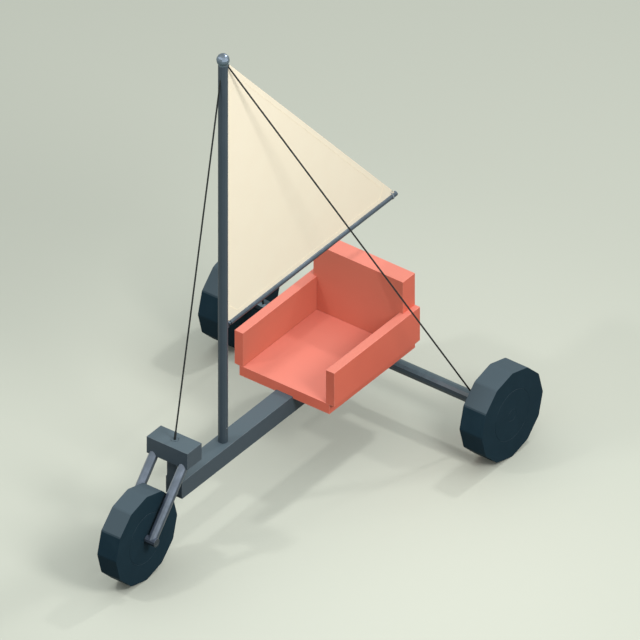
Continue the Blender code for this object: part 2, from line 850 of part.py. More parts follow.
# Mast: a twelve-sided tube that stands on the spine over a step, pinned to it
mast_bore = MAST_R - MAST_WALL
step_r = mast_bore - GAP
step_bottom = beam_bottom + BEAM_WALL + GAP
mast_step = rod(
    "mast_step",
    (0, mast_y, step_bottom),
    (0, mast_y, BEAM_TOP + STEP_UP),
    step_r,
    BRIGHT_STEEL,
    sides=TUBE_SIDES,
)
cut(
    spine,
    rod(
        "step_hole",
        (0, mast_y, beam_bottom + BEAM_H / 2),
        (0, mast_y, BEAM_TOP + BEAM_WALL),
        mast_bore,
        sides=TUBE_SIDES,
    ),
    rod(
        "step_bolt_hole",
        (0, mast_y, beam_bottom - BEAM_WALL),
        (0, mast_y, wall_top + GAP),
        STEP_BOLT_R + GAP,
    ),
)
step_bolt_tip = beam_bottom + STEP_BOLT_L
cut(
    mast_step,
    rod(
        "step_thread",
        (0, mast_y, beam_bottom),
        (0, mast_y, step_bolt_tip + GAP),
        STEP_BOLT_R + GAP,
        sides=SMALL_ROUND,
    ),
)
mast_step_bolt = hex_bolt(
    "mast_step_bolt",
    (0, mast_y, beam_bottom - GAP),
    (0, mast_y, step_bolt_tip),
    STEP_BOLT_R,
    ZINC,
)
mast = rod(
    "mast",
    (0, mast_y, BEAM_TOP + GAP),
    (0, mast_y, MAST_TOP),
    MAST_R,
    SLATE_PAINT,
    sides=TUBE_SIDES,
)
cut(
    mast,
    rod(
        "mast_bore",
        (0, mast_y, BEAM_TOP - MAST_R),
        (0, mast_y, MAST_TOP + MAST_R),
        mast_bore,
        sides=TUBE_SIDES,
    ),
)
mast_pin_z = BEAM_TOP + MAST_PIN_UP
pin_reach = sqrt(MAST_R**2 - MAST_PIN_R**2)
mast_pin = rod(
    "mast_pin",
    (-pin_reach, mast_y, mast_pin_z),
    (pin_reach, mast_y, mast_pin_z),
    MAST_PIN_R,
    ZINC,
    sides=SMALL_ROUND,
)
pin_hole = rod(
    "mast_pin_hole",
    (-2 * MAST_R, mast_y, mast_pin_z),
    (2 * MAST_R, mast_y, mast_pin_z),
    MAST_PIN_R + GAP,
    sides=SMALL_ROUND,
)
cut(mast, pin_hole)
cut(mast_step, pin_hole)

# Masthead ball: one turned piece with a plug that goes down inside the mast
low_angle = pi - asin(MAST_R / BALL_R)
ball_profile = [
    (BALL_R * sin(low_angle * i / BALL_RINGS), BALL_R * cos(low_angle * i / BALL_RINGS))
    for i in range(BALL_RINGS + 1)
]
ball_profile[0] = (0, BALL_R)
neck = GAP - BALL_UP
ball_profile += [
    (MAST_R, neck),
    (step_r, neck),
    (step_r, neck - BALL_PLUG_L),
    (0, neck - BALL_PLUG_L),
]
masthead_ball = turned("masthead_ball", ball_profile, ball, (0, 0, 1), POLISHED, TUBE_SIDES)

# Stays: wires from sockets in the masthead down to the kingpin and the rear axle
forestay_foot = Vector((0, kingpin_y, block_top))
feet = [("forestay", forestay_foot, -SWAGE_SEAT)]
shroud_x = axle_end - SHROUD_INBOARD
for label, side in SIDES:
    feet.append((f"shroud_{label}", Vector((side * shroud_x, rear_y, axle_z)), SHROUD_FOOT_UP))
for name, foot, start in feet:
    up = (ball - foot).normalized()
    lean = sqrt(up.x**2 + up.y**2)
    low = foot + up * start
    top = ball - up * (STAY_END / lean)
    stay = solid_wire(name, [low + up * SWAGE_L / 2, top], STAY_R, DARK_WIRE)
    join(stay, rod(name + "_swage", low, low + up * SWAGE_L, SWAGE_R, sides=SMALL_ROUND))
    mast_hole = rod(
        name + "_mast_hole",
        top - up * (4 * MAST_R / lean),
        top + up * GAP,
        STAY_R + GAP,
        sides=SMALL_ROUND,
    )
    cut(mast, mast_hole)
    cut(masthead_ball, mast_hole)
    swage_hole = rod(name + "_swage_hole", low - up * GAP, low + up * SWAGE_L, SWAGE_R + GAP)
    if name == "forestay":
        cut(kingpin, swage_hole)
    else:
        join(
            stay,
            rod(name + "_button", low - up * BUTTON_H, low + up * BUTTON_H, BUTTON_R, sides=SMALL_ROUND),
        )
        cut(rear_axle, swage_hole)

# Masthead tang: holds the top of the luff wire behind the mast
tang_top = MAST_TOP - TANG_BELOW_TOP
tang_bottom = tang_top - TANG_H
mast_shape = rod("mast_shape", (0, mast_y, BEAM_TOP), (0, mast_y, MAST_TOP), MAST_R + GAP, sides=TUBE_SIDES)
luff_hole = rod(
    "luff_hole",
    (0, pivot_y, tang_bottom - TANG_H),
    (0, pivot_y, tang_top + TANG_H),
    LUFF_WIRE_R + GAP,
    sides=SMALL_ROUND,
)
masthead_tang = box(
    "masthead_tang",
    (-TANG_W / 2, mast_y + MAST_R / 2, tang_bottom),
    (TANG_W / 2, pivot_y + TANG_W / 2, tang_top),
    BRIGHT_STEEL,
)
cut(masthead_tang, mast_shape, luff_hole)

# Gooseneck: a forked bracket on the back of the mast, and the pin that the boom swings on
ear_in = GOOSENECK_EYE_H / 2 + GAP
ear_out = ear_in + GOOSENECK_EAR_T
gooseneck_bracket = box(
    "gooseneck_bracket",
    (-GOOSENECK_EAR_R, mast_y + MAST_R / 2, BOOM_Z - ear_out),
    (GOOSENECK_EAR_R, pivot_y, BOOM_Z + ear_out),
    BRIGHT_STEEL,
)
ear_rounds = rod(
    "ear_rounds",
    (0, pivot_y, BOOM_Z - ear_out),
    (0, pivot_y, BOOM_Z + ear_out),
    GOOSENECK_EAR_R,
)
join(gooseneck_bracket, ear_rounds)
ear_slot = box(
    "ear_slot",
    (-2 * GOOSENECK_EAR_R, pivot_y - GOOSENECK_EYE_R - GOOSENECK_SLACK, BOOM_Z - ear_in),
    (2 * GOOSENECK_EAR_R, pivot_y + 2 * GOOSENECK_EAR_R, BOOM_Z + ear_in),
)
neck_hole = rod(
    "neck_hole",
    (0, pivot_y, BOOM_Z - 2 * ear_out),
    (0, pivot_y, BOOM_Z + 2 * ear_out),
    GOOSENECK_PIN_R + GAP,
    sides=SMALL_ROUND,
)
cut(gooseneck_bracket, ear_slot, mast_shape, neck_hole)
head_bottom = BOOM_Z + ear_out + GAP
head_top = head_bottom + GOOSENECK_HEAD_H
gooseneck_pin = turned(
    "gooseneck_pin",
    [
        (0, head_top),
        (GOOSENECK_HEAD_R, head_top),
        (GOOSENECK_HEAD_R, head_bottom),
        (GOOSENECK_PIN_R, head_bottom),
        (GOOSENECK_PIN_R, BOOM_Z - ear_out - GOOSENECK_EAR_T),
        (0, BOOM_Z - ear_out - GOOSENECK_EAR_T),
    ],
    (0, pivot_y, 0),
    (0, 0, 1),
    ZINC,
    steps=SMALL_ROUND,
)
wire_bottom = head_top - WIRE_SEAT
cut(
    gooseneck_pin,
    rod(
        "wire_seat",
        (0, pivot_y, wire_bottom - GAP),
        (0, pivot_y, head_top + WIRE_SEAT),
        LUFF_WIRE_R + GAP,
        sides=SMALL_ROUND,
    ),
)
luff_wire = wire(
    "luff_wire",
    [(0, pivot_y, wire_bottom), (0, pivot_y, tang_top + LUFF_WIRE_R)],
    LUFF_WIRE_R,
    DARK_WIRE,
)

# Boom: a twelve-sided tube, closed at the rear, with an eye plugged into its front end
boom_front = pivot_y + BOOM_START
boom_rear = clew_y + BOOM_PAST_CLEW
boom = rod("boom", (0, boom_front, BOOM_Z), (0, boom_rear, BOOM_Z), BOOM_R, BRIGHT_STEEL, sides=TUBE_SIDES)
cut(
    boom,
    rod("boom_bore", (0, boom_front - BOOM_R, BOOM_Z), (0, boom_rear - BOOM_END_T, BOOM_Z), BOOM_BORE_R),
)
boom_eye = rod(
    "boom_eye",
    (0, pivot_y, BOOM_Z - GOOSENECK_EYE_H / 2),
    (0, pivot_y, BOOM_Z + GOOSENECK_EYE_H / 2),
    GOOSENECK_EYE_R,
    BRIGHT_STEEL,
)
plug_r = BOOM_BORE_R - GAP
join(
    boom_eye,
    rod(
        "eye_tail",
        (0, pivot_y + GOOSENECK_PIN_R + GAP, BOOM_Z),
        (0, boom_front + BOOM_PLUG_L, BOOM_Z),
        plug_r,
    ),
)
cut(boom_eye, neck_hole)

# Sail: a flat triangle of cloth with a sleeve along the luff that turns on the luff wire
foot_z = BOOM_Z + BOOM_R + SAIL_FOOT_GAP
sleeve_bottom = head_top + 2 * LUFF_WIRE_R
sleeve_top = tang_bottom - LUFF_WIRE_R
leech_slope = CLEW_BEHIND / (ball_z - foot_z)
head_y = mast_y + leech_slope * (ball_z - sleeve_top)
luff_y = pivot_y + (LUFF_WIRE_R + SLEEVE_R) / 2
sail = plate(
    "sail",
    [
        (luff_y, sleeve_bottom + SLEEVE_R),
        (pivot_y + TACK_CUT, foot_z),
        (clew_y, foot_z),
        (head_y, sleeve_top),
        (luff_y, sleeve_top),
    ],
    SAIL_T,
    SAILCLOTH,
)
join(
    sail,
    rod("luff_sleeve", (0, pivot_y, sleeve_bottom), (0, pivot_y, sleeve_top), SLEEVE_R, sides=SMALL_ROUND),
)
sleeve_bore = rod(
    "sleeve_bore",
    (0, pivot_y, sleeve_bottom - SLEEVE_R),
    (0, pivot_y, sleeve_top + SLEEVE_R),
    LUFF_WIRE_R + GAP,
    sides=SMALL_ROUND,
)
eyelet_y = clew_y - EYELET_FROM_CLEW
eyelet_z = foot_z + EYELET_UP
eyelet_hole = rod("eyelet_hole", (-BOOM_R, eyelet_y, eyelet_z), (BOOM_R, eyelet_y, eyelet_z), EYELET_R)
cut(sail, sleeve_bore, eyelet_hole)

# Clew lashing: a ring of cord through the sail's clew and round the boom
loop_top = eyelet_z - EYELET_R * cos(pi / ROUND) + LASHING_R + GAP
loop_r = BOOM_R + LASHING_R + GAP
loop = [(0, eyelet_y, loop_top), (LASHING_HALF, eyelet_y, loop_top)]
for i in range(LASHING_POINTS):
    angle = LASHING_FROM - LASHING_TURN * i / (LASHING_POINTS - 1)
    loop.append((loop_r * cos(angle), eyelet_y, BOOM_Z + loop_r * sin(angle)))
loop.append((-LASHING_HALF, eyelet_y, loop_top))
clew_lashing = wire("clew_lashing", loop, LASHING_R, DARK_WIRE, closed=True, fineness=1)

# Seat floor: a moulded tray, open underneath, with a channel that sits over the spine
seat_floor = box(
    "seat_floor",
    (-FLOOR_W / 2, seat_front, floor_bottom),
    (FLOOR_W / 2, seat_rear, floor_top),
    CORAL,
)
cut(
    seat_floor,
    box(
        "spine_channel",
        (-BEAM_W / 2 - GAP, seat_front - FLOOR_T, floor_bottom - FLOOR_T),
        (BEAM_W / 2 + GAP, seat_rear + FLOOR_T, BEAM_TOP + GAP),
    ),
)
panel_inner = PANEL_W / 2 - PANEL_T
panel_outer = PANEL_W / 2
panel_bottom = floor_top - SEAT_REBATE + GAP
panel_top = floor_top + GAP + PANEL_H
back_front = seat_rear - BACK_T
pocket_front = seat_front + SEAT_RIB
pocket_rear = back_front - SHELL
pocket_middle = (pocket_front + pocket_rear) / 2
strip = BEAM_W / 2 + FLOOR_STRIP
for label, low_x, high_x, low_z in (
    ("left", strip, panel_inner - SHELL, floor_bottom - FLOOR_T),
    ("right", -panel_inner + SHELL, -strip, floor_bottom - FLOOR_T),
    ("middle", -BEAM_W / 2 + SHELL, BEAM_W / 2 - SHELL, BEAM_TOP - FLOOR_T),
):
    for place, low_y, high_y in (
        ("front", pocket_front, pocket_middle - SEAT_RIB / 2),
        ("rear", pocket_middle + SEAT_RIB / 2, pocket_rear),
    ):
        cut(
            seat_floor,
            box(
                f"floor_pocket_{place}_{label}",
                (low_x, low_y, low_z),
                (high_x, high_y, floor_top - FLOOR_SKIN),
            ),
        )

pan_x = panel_inner - GAP
pan_rear = back_front - GAP
for label, low, high in (
    ("left", (pan_x, seat_front - FLOOR_T), (FLOOR_W, seat_rear + FLOOR_T)),
    ("right", (-FLOOR_W, seat_front - FLOOR_T), (-pan_x, seat_rear + FLOOR_T)),
    ("rear", (-FLOOR_W, pan_rear), (FLOOR_W, seat_rear + FLOOR_T)),
):
    rebate = box(f"floor_rebate_{label}", (*low, floor_top - SEAT_REBATE), (*high, floor_top + FLOOR_T))
    cut(seat_floor, rebate)

# Seat sides: hollow moulded panels that stand in the rebates along the floor's edges
for label, side in SIDES:
    low_x, high_x = sorted((side * panel_inner, side * panel_outer))
    panel = box(
        f"seat_side_{label}",
        (low_x, seat_front, panel_bottom),
        (high_x, seat_rear, panel_top),
        CORAL,
    )
    cut(
        panel,
        box(
            f"panel_pocket_{label}",
            (low_x + SHELL, seat_front + SHELL, panel_bottom - SHELL),
            (high_x - SHELL, seat_rear - SHELL, panel_top - SHELL),
        ),
    )

# Seat back: a hollow panel that fits between the sides and widens above them
back_top = floor_top + GAP + BACK_H
back_inner = panel_inner - GAP
seat_back = box(
    "seat_back",
    (-BACK_W / 2, back_front, panel_bottom),
    (BACK_W / 2, seat_rear, back_top),
    CORAL,
)
for label, side in SIDES:
    low_x, high_x = sorted((side * back_inner, side * PANEL_W))
    cut(
        seat_back,
        box(
            f"back_notch_{label}",
            (low_x, back_front - BACK_T, panel_bottom - SHELL),
            (high_x, seat_rear + BACK_T, panel_top + GAP),
        ),
    )
cut(
    seat_back,
    box(
        "back_pocket",
        (-back_inner + SHELL, back_front + SHELL, panel_bottom - SHELL),
        (back_inner - SHELL, seat_rear - SHELL, back_top - SHELL),
    ),
)

# Seat rails: steel angles between the sides of the spine and the underside of the floor
rail_top = floor_bottom - GAP
for label, side in SIDES:
    inner = side * (BEAM_W / 2 + GAP)
    low_x, high_x = sorted((inner, inner + side * RAIL_LEG))
    rail = box(
        f"seat_rail_{label}",
        (low_x, seat_front + RAIL_INSET, rail_top - RAIL_LEG),
        (high_x, seat_rear - RAIL_INSET, rail_top),
        SLATE_PAINT,
    )
    low_x, high_x = sorted((inner + side * RAIL_T, inner + side * 2 * RAIL_LEG))
    cut(
        rail,
        box(
            f"rail_hollow_{label}",
            (low_x, seat_front - RAIL_LEG, rail_top - 2 * RAIL_LEG),
            (high_x, seat_rear + RAIL_LEG, rail_top - RAIL_T),
        ),
    )

# Joints: each moving body hangs from an empty on its axis
steering_axis = pivot("steering_axis", (0, kingpin_y, POST_TOP))
front_wheel_axis = pivot("front_wheel_axis", axle_middle, steering_axis)
rig_axis = pivot("rig_axis", (0, pivot_y, BOOM_Z))
hang(steering, steering_axis)
hang(front_wheel, front_wheel_axis)
hang([boom, boom_eye, sail, clew_lashing], rig_axis)
for label, side in SIDES:
    wheel_axis = pivot(f"rear_wheel_axis_{label}", (side * REAR_TRACK / 2, rear_y, axle_z))
    hang(rear_wheels[label], wheel_axis)
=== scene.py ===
"""Looks of a small land yacht: steel frame, raked fork, barrow wheels, moulded seat, mast and sail.

Metres, +Z up, ground at Z = 0, bow towards -Y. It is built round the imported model, which stays as it is.
"""

from math import acos, cos, hypot, pi, radians, sin, sqrt

import bmesh
import bpy
from mathutils import Matrix, Vector


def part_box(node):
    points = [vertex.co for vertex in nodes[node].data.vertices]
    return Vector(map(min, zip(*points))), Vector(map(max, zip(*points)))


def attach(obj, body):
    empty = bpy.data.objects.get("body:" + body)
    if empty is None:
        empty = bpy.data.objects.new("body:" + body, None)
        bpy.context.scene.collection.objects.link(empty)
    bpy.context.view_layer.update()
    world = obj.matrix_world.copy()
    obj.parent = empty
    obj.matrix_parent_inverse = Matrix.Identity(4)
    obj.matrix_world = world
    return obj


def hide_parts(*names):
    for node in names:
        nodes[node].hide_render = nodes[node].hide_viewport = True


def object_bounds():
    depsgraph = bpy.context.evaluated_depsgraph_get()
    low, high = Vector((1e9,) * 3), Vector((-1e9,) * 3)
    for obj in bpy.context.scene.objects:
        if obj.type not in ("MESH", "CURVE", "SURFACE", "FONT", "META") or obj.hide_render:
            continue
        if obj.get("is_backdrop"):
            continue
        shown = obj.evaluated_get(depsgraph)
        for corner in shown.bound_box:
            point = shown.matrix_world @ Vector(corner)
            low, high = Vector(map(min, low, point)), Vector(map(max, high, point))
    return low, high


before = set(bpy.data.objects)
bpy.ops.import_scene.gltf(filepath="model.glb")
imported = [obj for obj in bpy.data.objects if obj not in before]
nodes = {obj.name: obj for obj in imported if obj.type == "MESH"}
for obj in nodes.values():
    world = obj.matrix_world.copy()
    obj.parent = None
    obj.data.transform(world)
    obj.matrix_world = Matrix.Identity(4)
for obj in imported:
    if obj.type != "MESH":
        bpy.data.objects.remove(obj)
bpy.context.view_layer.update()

# Camera: a parallel view from high on the yacht's port bow, like the one in the photo.
# It looks into the seat, and holds the whole yacht with some floor round it.
VIEW_TURN = radians(36.87)
VIEW_HEIGHT = radians(35.75)
VIEW_WIDTH = 2.515
VIEW_CENTRE = Vector((0, 0.4337, 0.5493))
CAMERA_BACK = 8.0
CAMERA_REACH = 60.0
towards_camera = Vector(
    (
        sin(VIEW_TURN) * cos(VIEW_HEIGHT),
        -cos(VIEW_TURN) * cos(VIEW_HEIGHT),
        sin(VIEW_HEIGHT),
    )
)
camera_data = bpy.data.cameras.new("camera")
camera_data.type = "ORTHO"
camera_data.ortho_scale = VIEW_WIDTH
camera_data.clip_end = CAMERA_REACH
camera = bpy.data.objects.new("camera", camera_data)
camera.location = VIEW_CENTRE + towards_camera * CAMERA_BACK
camera.rotation_euler = (-towards_camera).to_track_quat("-Z", "Y").to_euler()
bpy.context.scene.collection.objects.link(camera)
bpy.context.scene.camera = camera
bpy.context.scene.view_settings.view_transform = "Standard"

# Studio: a pale grey-green floor under a soft overcast sky, with three lamps: one behind the yacht, one
# off its starboard bow and one to port. Low views see a plain backdrop in the tone of the far floor.
MIX_FACTOR = 0  # numbers of a Mix node's sockets, for colours
MIX_COLOURS = (6, 7)
MIX_RESULT = 2


class Shade:
    """A number, colour or vector that varies over a surface: the output socket of a shader node.

    Python's operators on it add Math nodes, and node() adds any other kind.
    """

    def __init__(self, tree, socket=None):
        self.tree = tree
        self.socket = socket

    def node(self, kind, settings=None, sockets=None, output=0):
        """Adds a node. Its settings are set first, then the values or links of its sockets."""
        added = self.tree.nodes.new("ShaderNode" + kind)
        for name, value in (settings or {}).items():
            setattr(added, name, value)
        for name, value in (sockets or {}).items():
            if isinstance(value, Shade):
                self.tree.links.new(value.socket, added.inputs[name])
            else:
                added.inputs[name].default_value = value
        return Shade(self.tree, added.outputs[output])

    def math(self, operation, *values):
        return self.node("Math", {"operation": operation}, dict(enumerate(values)))

    def __add__(self, other):
        return self.math("ADD", self, other)

    def __sub__(self, other):
        return self.math("SUBTRACT", self, other)

    def __rsub__(self, other):
        return self.math("SUBTRACT", other, self)

    def __mul__(self, other):
        return self.math("MULTIPLY", self, other)

    __radd__ = __add__
    __rmul__ = __mul__

    def least(self, other):
        return self.math("MINIMUM", self, other)

    def most(self, other):
        return self.math("MAXIMUM", self, other)

    def sine(self):
        return self.math("SINE", self)

    def axis(self, name):
        """One of a vector's X, Y and Z."""
        return self.node("SeparateXYZ", sockets={0: self}, output=name)

    def vector(self, operation, other):
        return self.node("VectorMath", {"operation": operation}, {0: self, 1: other})

    def length(self):
        return self.node("VectorMath", {"operation": "LENGTH"}, {0: self}, output="Value")

    def rise(self, low, high):
        """Goes smoothly from 0 where this is low to 1 where it is high."""
        return self.node(
            "MapRange",
            {"interpolation_type": "SMOOTHSTEP"},
            {"Value": self, "From Min": low, "From Max": high},
        )

    def span(self, low, high):
        """The number low where this is 0 and high where it is 1."""
        return self * (high - low) + low

    def between(self, low, high):
        """The colour low where this is 0 and high where it is 1."""
        sockets = {MIX_FACTOR: self}
        for number, colour in zip(MIX_COLOURS, (low, high)):
            sockets[number] = colour if isinstance(colour, Shade) else (*colour, 1.0)
        return self.node("Mix", {"data_type": "RGBA"}, sockets, output=MIX_RESULT)

    def noise(self, lumps, detail=2.0):
        """Noise at this place, from 0 to 1, with so many lumps to a metre."""
        return self.node("TexNoise", sockets={"Vector": self, "Scale": lumps, "Detail": detail})

    def patches(self, lumps, detail, low, high):
        """Soft-edged patches, from noise with so many lumps to a metre and so much detail."""
        return self.noise(lumps, detail).rise(low, high)

    def bump(self, depth, strength):
        """The normal of a surface with this height, where 1 is depth metres."""
        return self.node("Bump", sockets={"Height": self, "Distance": depth, "Strength": strength})


def surface(name, look, **constants):
    """A material. look gets the place in the yacht's frame and returns what varies, by socket."""
    material = bpy.data.materials.new(name)
    material.use_nodes = True
    tree = material.node_tree
    shader = tree.nodes["Principled BSDF"]
    for socket, value in constants.items():
        shader.inputs[socket.replace("_", " ")].default_value = value
    place = Shade(tree).node("TexCoord", output="Object")
    for socket, value in look(place).items():
        tree.links.new(value.socket, shader.inputs[socket])
    return material


def new_piece(name, bm, material, smooth_below=None):
    """A new object from a bmesh. Edges that turn less than smooth_below degrees are shaded round."""
    mesh = bpy.data.meshes.new(name)
    bm.to_mesh(mesh)
    bm.free()
    mesh.materials.append(material)
    if smooth_below is not None:
        mesh.shade_smooth()
        mesh.set_sharp_from_angle(angle=radians(smooth_below))
    obj = bpy.data.objects.new(name, mesh)
    bpy.context.scene.collection.objects.link(obj)
    return obj


FLOOR_HALF = 30.0
FLOOR_FAR = (0.462, 0.472, 0.403)
FLOOR_NEAR = (0.464, 0.474, 0.407)
FLOOR_WAY = (0.6, -0.8)  # X and Y of the way from the far floor to the near floor
FLOOR_TURNS = (-3.5, 2.5)  # where along it the tone turns
FLOOR_PAINTED_LIGHT = (1.13, 1.13, 1.13)  # painted light: how much paler the floor is painted round the yacht than further out, against its shade
PAINTED_LIGHT_FADE = (2.4, 0.7)  # the radii at which that painted light starts and is full
FLOOR_BOUNCE = (0.115, 0.120, 0.108)  # what it sends back up on to the yacht
SKY_LOW = (0.0, 0.0, 0.0)
SKY_HIGH = (0.965, 1.020, 1.040)
SKY_FADE = (0.15, 0.40)  # sines of the heights at which the sky starts and is full


def seen_plainly(tree):
    """1 for what the camera, gloss and glass see, and 0 for light on its way to a surface."""
    direct, in_gloss, through_glass = (
        Shade(tree).node("LightPath", output=f"Is {kind} Ray")
        for kind in ("Camera", "Glossy", "Transmission")
    )
    return direct.most(in_gloss).most(through_glass)


def floor_look(place):
    along = place.axis("X") * FLOOR_WAY[0] + place.axis("Y") * FLOOR_WAY[1]
    tone = along.rise(*FLOOR_TURNS).between(FLOOR_FAR, FLOOR_NEAR)
    # Painted light: the floor is painted paler round the yacht, to make up for the shade it casts there.
    pool = place.length().rise(*PAINTED_LIGHT_FADE)
    tone = pool.between(tone, tone.vector("MULTIPLY", FLOOR_PAINTED_LIGHT))
    return {"Base Color": seen_plainly(place.tree).between(FLOOR_BOUNCE, tone)}


bm = bmesh.new()
bmesh.ops.create_grid(bm, x_segments=1, y_segments=1, size=FLOOR_HALF)
floor_paint = surface("floor_paint", floor_look, Roughness=1.0, Specular_IOR_Level=0.0)
floor = new_piece("floor", bm, floor_paint)
floor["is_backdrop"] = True

world = bpy.data.worlds.new("world")
world.use_nodes = True
sky_tree = world.node_tree
height = Shade(sky_tree).node("TexCoord", output="Generated").axis("Z")
overcast = height.rise(*SKY_FADE).between(SKY_LOW, SKY_HIGH)
sky = seen_plainly(sky_tree).between(overcast, FLOOR_FAR)
sky_tree.links.new(sky.socket, sky_tree.nodes["Background"].inputs["Color"])
bpy.context.scene.world = world

LAMPS = {
    # name: (place, size across, power)
    "lamp_behind": ((0.85, 3.51, 4.92), 0.40, 62),
    "lamp_bow": ((-2.12, -2.97, 5.02), 0.50, 58),
    "lamp_port": ((3.50, -0.80, 3.47), 1.40, 98),
}
LAMPS_AIM = Vector((0, 0.3, 0.3))
for name, (place, size, power) in LAMPS.items():
    lamp_data = bpy.data.lights.new(name, "AREA")
    lamp_data.shape = "DISK"
    lamp_data.size = size
    lamp_data.energy = power
    lamp = bpy.data.objects.new(name, lamp_data)
    lamp.location = place
    lamp.rotation_euler = (LAMPS_AIM - Vector(place)).to_track_quat("-Z", "Y").to_euler()
    bpy.context.scene.collection.objects.link(lamp)

# Spine: one length of 80 mm square tube with a plate welded into each end, two angles welded along
# its sides to carry the seat, and a saddle block under its rear end for the axle. All in slate paint:
# satin, with a slight orange peel, rubbed thin on the corners, and painted paler on top, for dust and
# for a painted sheen of light from above.
SIDES = {"left": 1, "right": -1}  # port is left, at +X
SLATE = (0.056, 0.078, 0.098)
SLATE_DEEP = (0.050, 0.071, 0.090)
SLATE_DUST_AND_SHEEN = (0.085, 0.117, 0.136)
SLATE_RUBBED = (0.120, 0.150, 0.175)
SLATE_PATCHES = (7.0, 3.0, 0.30, 0.70)  # lumps, detail, and the noise where they start and are full
SLATE_ROUGH = (0.46, 0.52)  # outside the patches and inside them
PAINT_SHINE = 0.25
PEEL_LUMPS = 420.0  # to a metre
PEEL = (0.0002, 0.15)  # depth and strength
SHEEN_AND_DUST_HEIGHTS = (0.30, 0.70)  # the Z of a normal at which the painted sheen of light from above, and dust, start and are full
RUB_WIDTH = 0.0040
RUB_THROUGH = 0.45  # the share of that width that is rubbed through
RUB_RAGGED = (60.0, 3.0)  # lumps to a metre and detail
RUB_GLOSS = 0.08
MERGE = 0.00001  # points closer than this become one
FLAT_WITHIN = radians(0.5)  # faces that turn less than this become one
EDGE_TURN = 35  # degrees, from which an edge is rounded
EDGE_SEGMENTS = 2
SPINE_EDGES = {
    # name: how round its edges are
    "spine_beam": 0.0020,
    "spine_front_cap": 0.0008,
    "spine_rear_cap": 0.0008,
    "axle_saddle": 0.0012,
    "seat_rail_left": 0.0010,
    "seat_rail_right": 0.0010,
}
WELD_R = 0.0026
WELD_SIDES = 8
WELD_RIPPLE = 0.0042  # from one ripple to the next
RIPPLE_STEPS = 4
RIPPLE_DIP = 0.10  # between ripples, as a share of the radius
WELD_END = 0.55  # the radius at the ends, as a share
WELD_GROWTH = 0.15  # of that share, with each step from an end
STITCH_WELD = 0.036
STITCH_WELDS = 4
SADDLE_WELD_SHORT = 0.004  # of the saddle's rear end


def painted_light_and_dust_on_top(place, heights=SHEEN_AND_DUST_HEIGHTS):
    """0 on the sides and underneath, and 1 on top: where paler colour is painted for light from above, and
    where dust settles and the sun fades.
    """
    return Shade(place.tree).node("TexCoord", output="Normal").axis("Z").rise(*heights)


def edge_distance(place, low, high):
    """The distance to the nearest edge of a box, at a place on its faces."""
    x, y, z = (
        (place.axis(name) - near).least(far - place.axis(name)).most(0.0)
        for name, near, far in zip("XYZ", low, high)
    )
    return x + y + z - x.least(y).least(z) - x.most(y).most(z)


def rubbed_edges(place, low, high):
    """1 along the ragged, rubbed edges of a box, and 0 on the rest of its faces."""
    ragged = edge_distance(place, low, high) + place.noise(*RUB_RAGGED) * RUB_WIDTH
    return ragged.rise(RUB_WIDTH, RUB_WIDTH * RUB_THROUGH)


def slate_look(low=None, high=None):
    """Slate paint, rubbed on the edges of the box from low to high if they are given."""

    def look(place):
        patches = place.patches(*SLATE_PATCHES)
        # Painted sheen: the top is painted paler for the light from above, as well as for dust.
        colour = painted_light_and_dust_on_top(place).between(patches.between(SLATE_DEEP, SLATE), SLATE_DUST_AND_SHEEN)
        roughness = patches.span(*SLATE_ROUGH)
        if low is not None:
            rubbed = rubbed_edges(place, low, high)
            colour = rubbed.between(colour, SLATE_RUBBED)
            roughness = roughness - rubbed * RUB_GLOSS
        return {
            "Base Color": colour,
            "Roughness": roughness,
            "Normal": place.noise(PEEL_LUMPS).bump(*PEEL),
        }

    return look


def dress(name, material, edge=None, turn=EDGE_TURN):
    """Gives a CAD node its finish and slot, and rounds the edges that turn more than an angle."""
    node = nodes[name]
    node.data.materials.clear()
    node.data.materials.append(material)
    if edge is not None:
        weld = node.modifiers.new("weld", "WELD")
        weld.merge_threshold = MERGE
        flatten = node.modifiers.new("flatten", "DECIMATE")
        flatten.decimate_type = "DISSOLVE"
        flatten.angle_limit = FLAT_WITHIN
        bevel = node.modifiers.new("bevel", "BEVEL")
        bevel.limit_method = "ANGLE"
        bevel.angle_limit = radians(turn)
        bevel.width = edge
        bevel.segments = EDGE_SEGMENTS


def paint(name, edge=None):
    """Slate paint on a CAD node that fills its box."""
    finish = surface(name + "_paint", slate_look(*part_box(name)), Specular_IOR_Level=PAINT_SHINE)
    dress(name, finish, edge)


def fitted(name, bm, material, body, smooth_below=None):
    """A new piece of the yacht, that rides on one of the bodies."""
    piece = new_piece(name, bm, material, smooth_below)
    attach(piece, body)
    return piece


def bridge(bm, first, second):
    """A band of faces between two rings of as many points."""
    for j in range(len(first)):
        k = (j + 1) % len(first)
        bm.faces.new((first[j], first[k], second[k], second[j]))


def swept(path, sides, radius, closed=False):
    """A tube along a path. radius(number, turn) is for a point of the path and an angle round it."""
    bm = bmesh.new()
    normal = None
    rings = []
    last = len(path) - 1
    for i, point in enumerate(path):
        after = path[(i + 1) % len(path)] if closed else path[min(i + 1, last)]
        before = path[i - 1] if closed else path[max(i - 1, 0)]
        ahead = (after - before).normalized()
        normal = ahead.orthogonal() if normal is None else normal - ahead * normal.dot(ahead)
        normal.normalize()
        across = ahead.cross(normal)
        ring = []
        for j in range(sides):
            turn = 2 * pi * j / sides
            ring.append(bm.verts.new(point + (normal * cos(turn) + across * sin(turn)) * radius(i, turn)))
        rings.append(ring)
    pairs = list(zip(rings, rings[1:]))
    if closed:
        pairs.append((rings[-1], rings[0]))
    else:
        bm.faces.new(reversed(rings[0]))
        bm.faces.new(rings[-1])
    for first, second in pairs:
        bridge(bm, first, second)
    return bm


def stepped(corners, step):
    """Points along straight runs between corners, about a step apart."""
    points = [corners[0]]
    for start, end in zip(corners, corners[1:]):
        count = max(1, round((end - start).length / step))
        points += [start.lerp(end, i / count) for i in range(1, count + 1)]
    return points


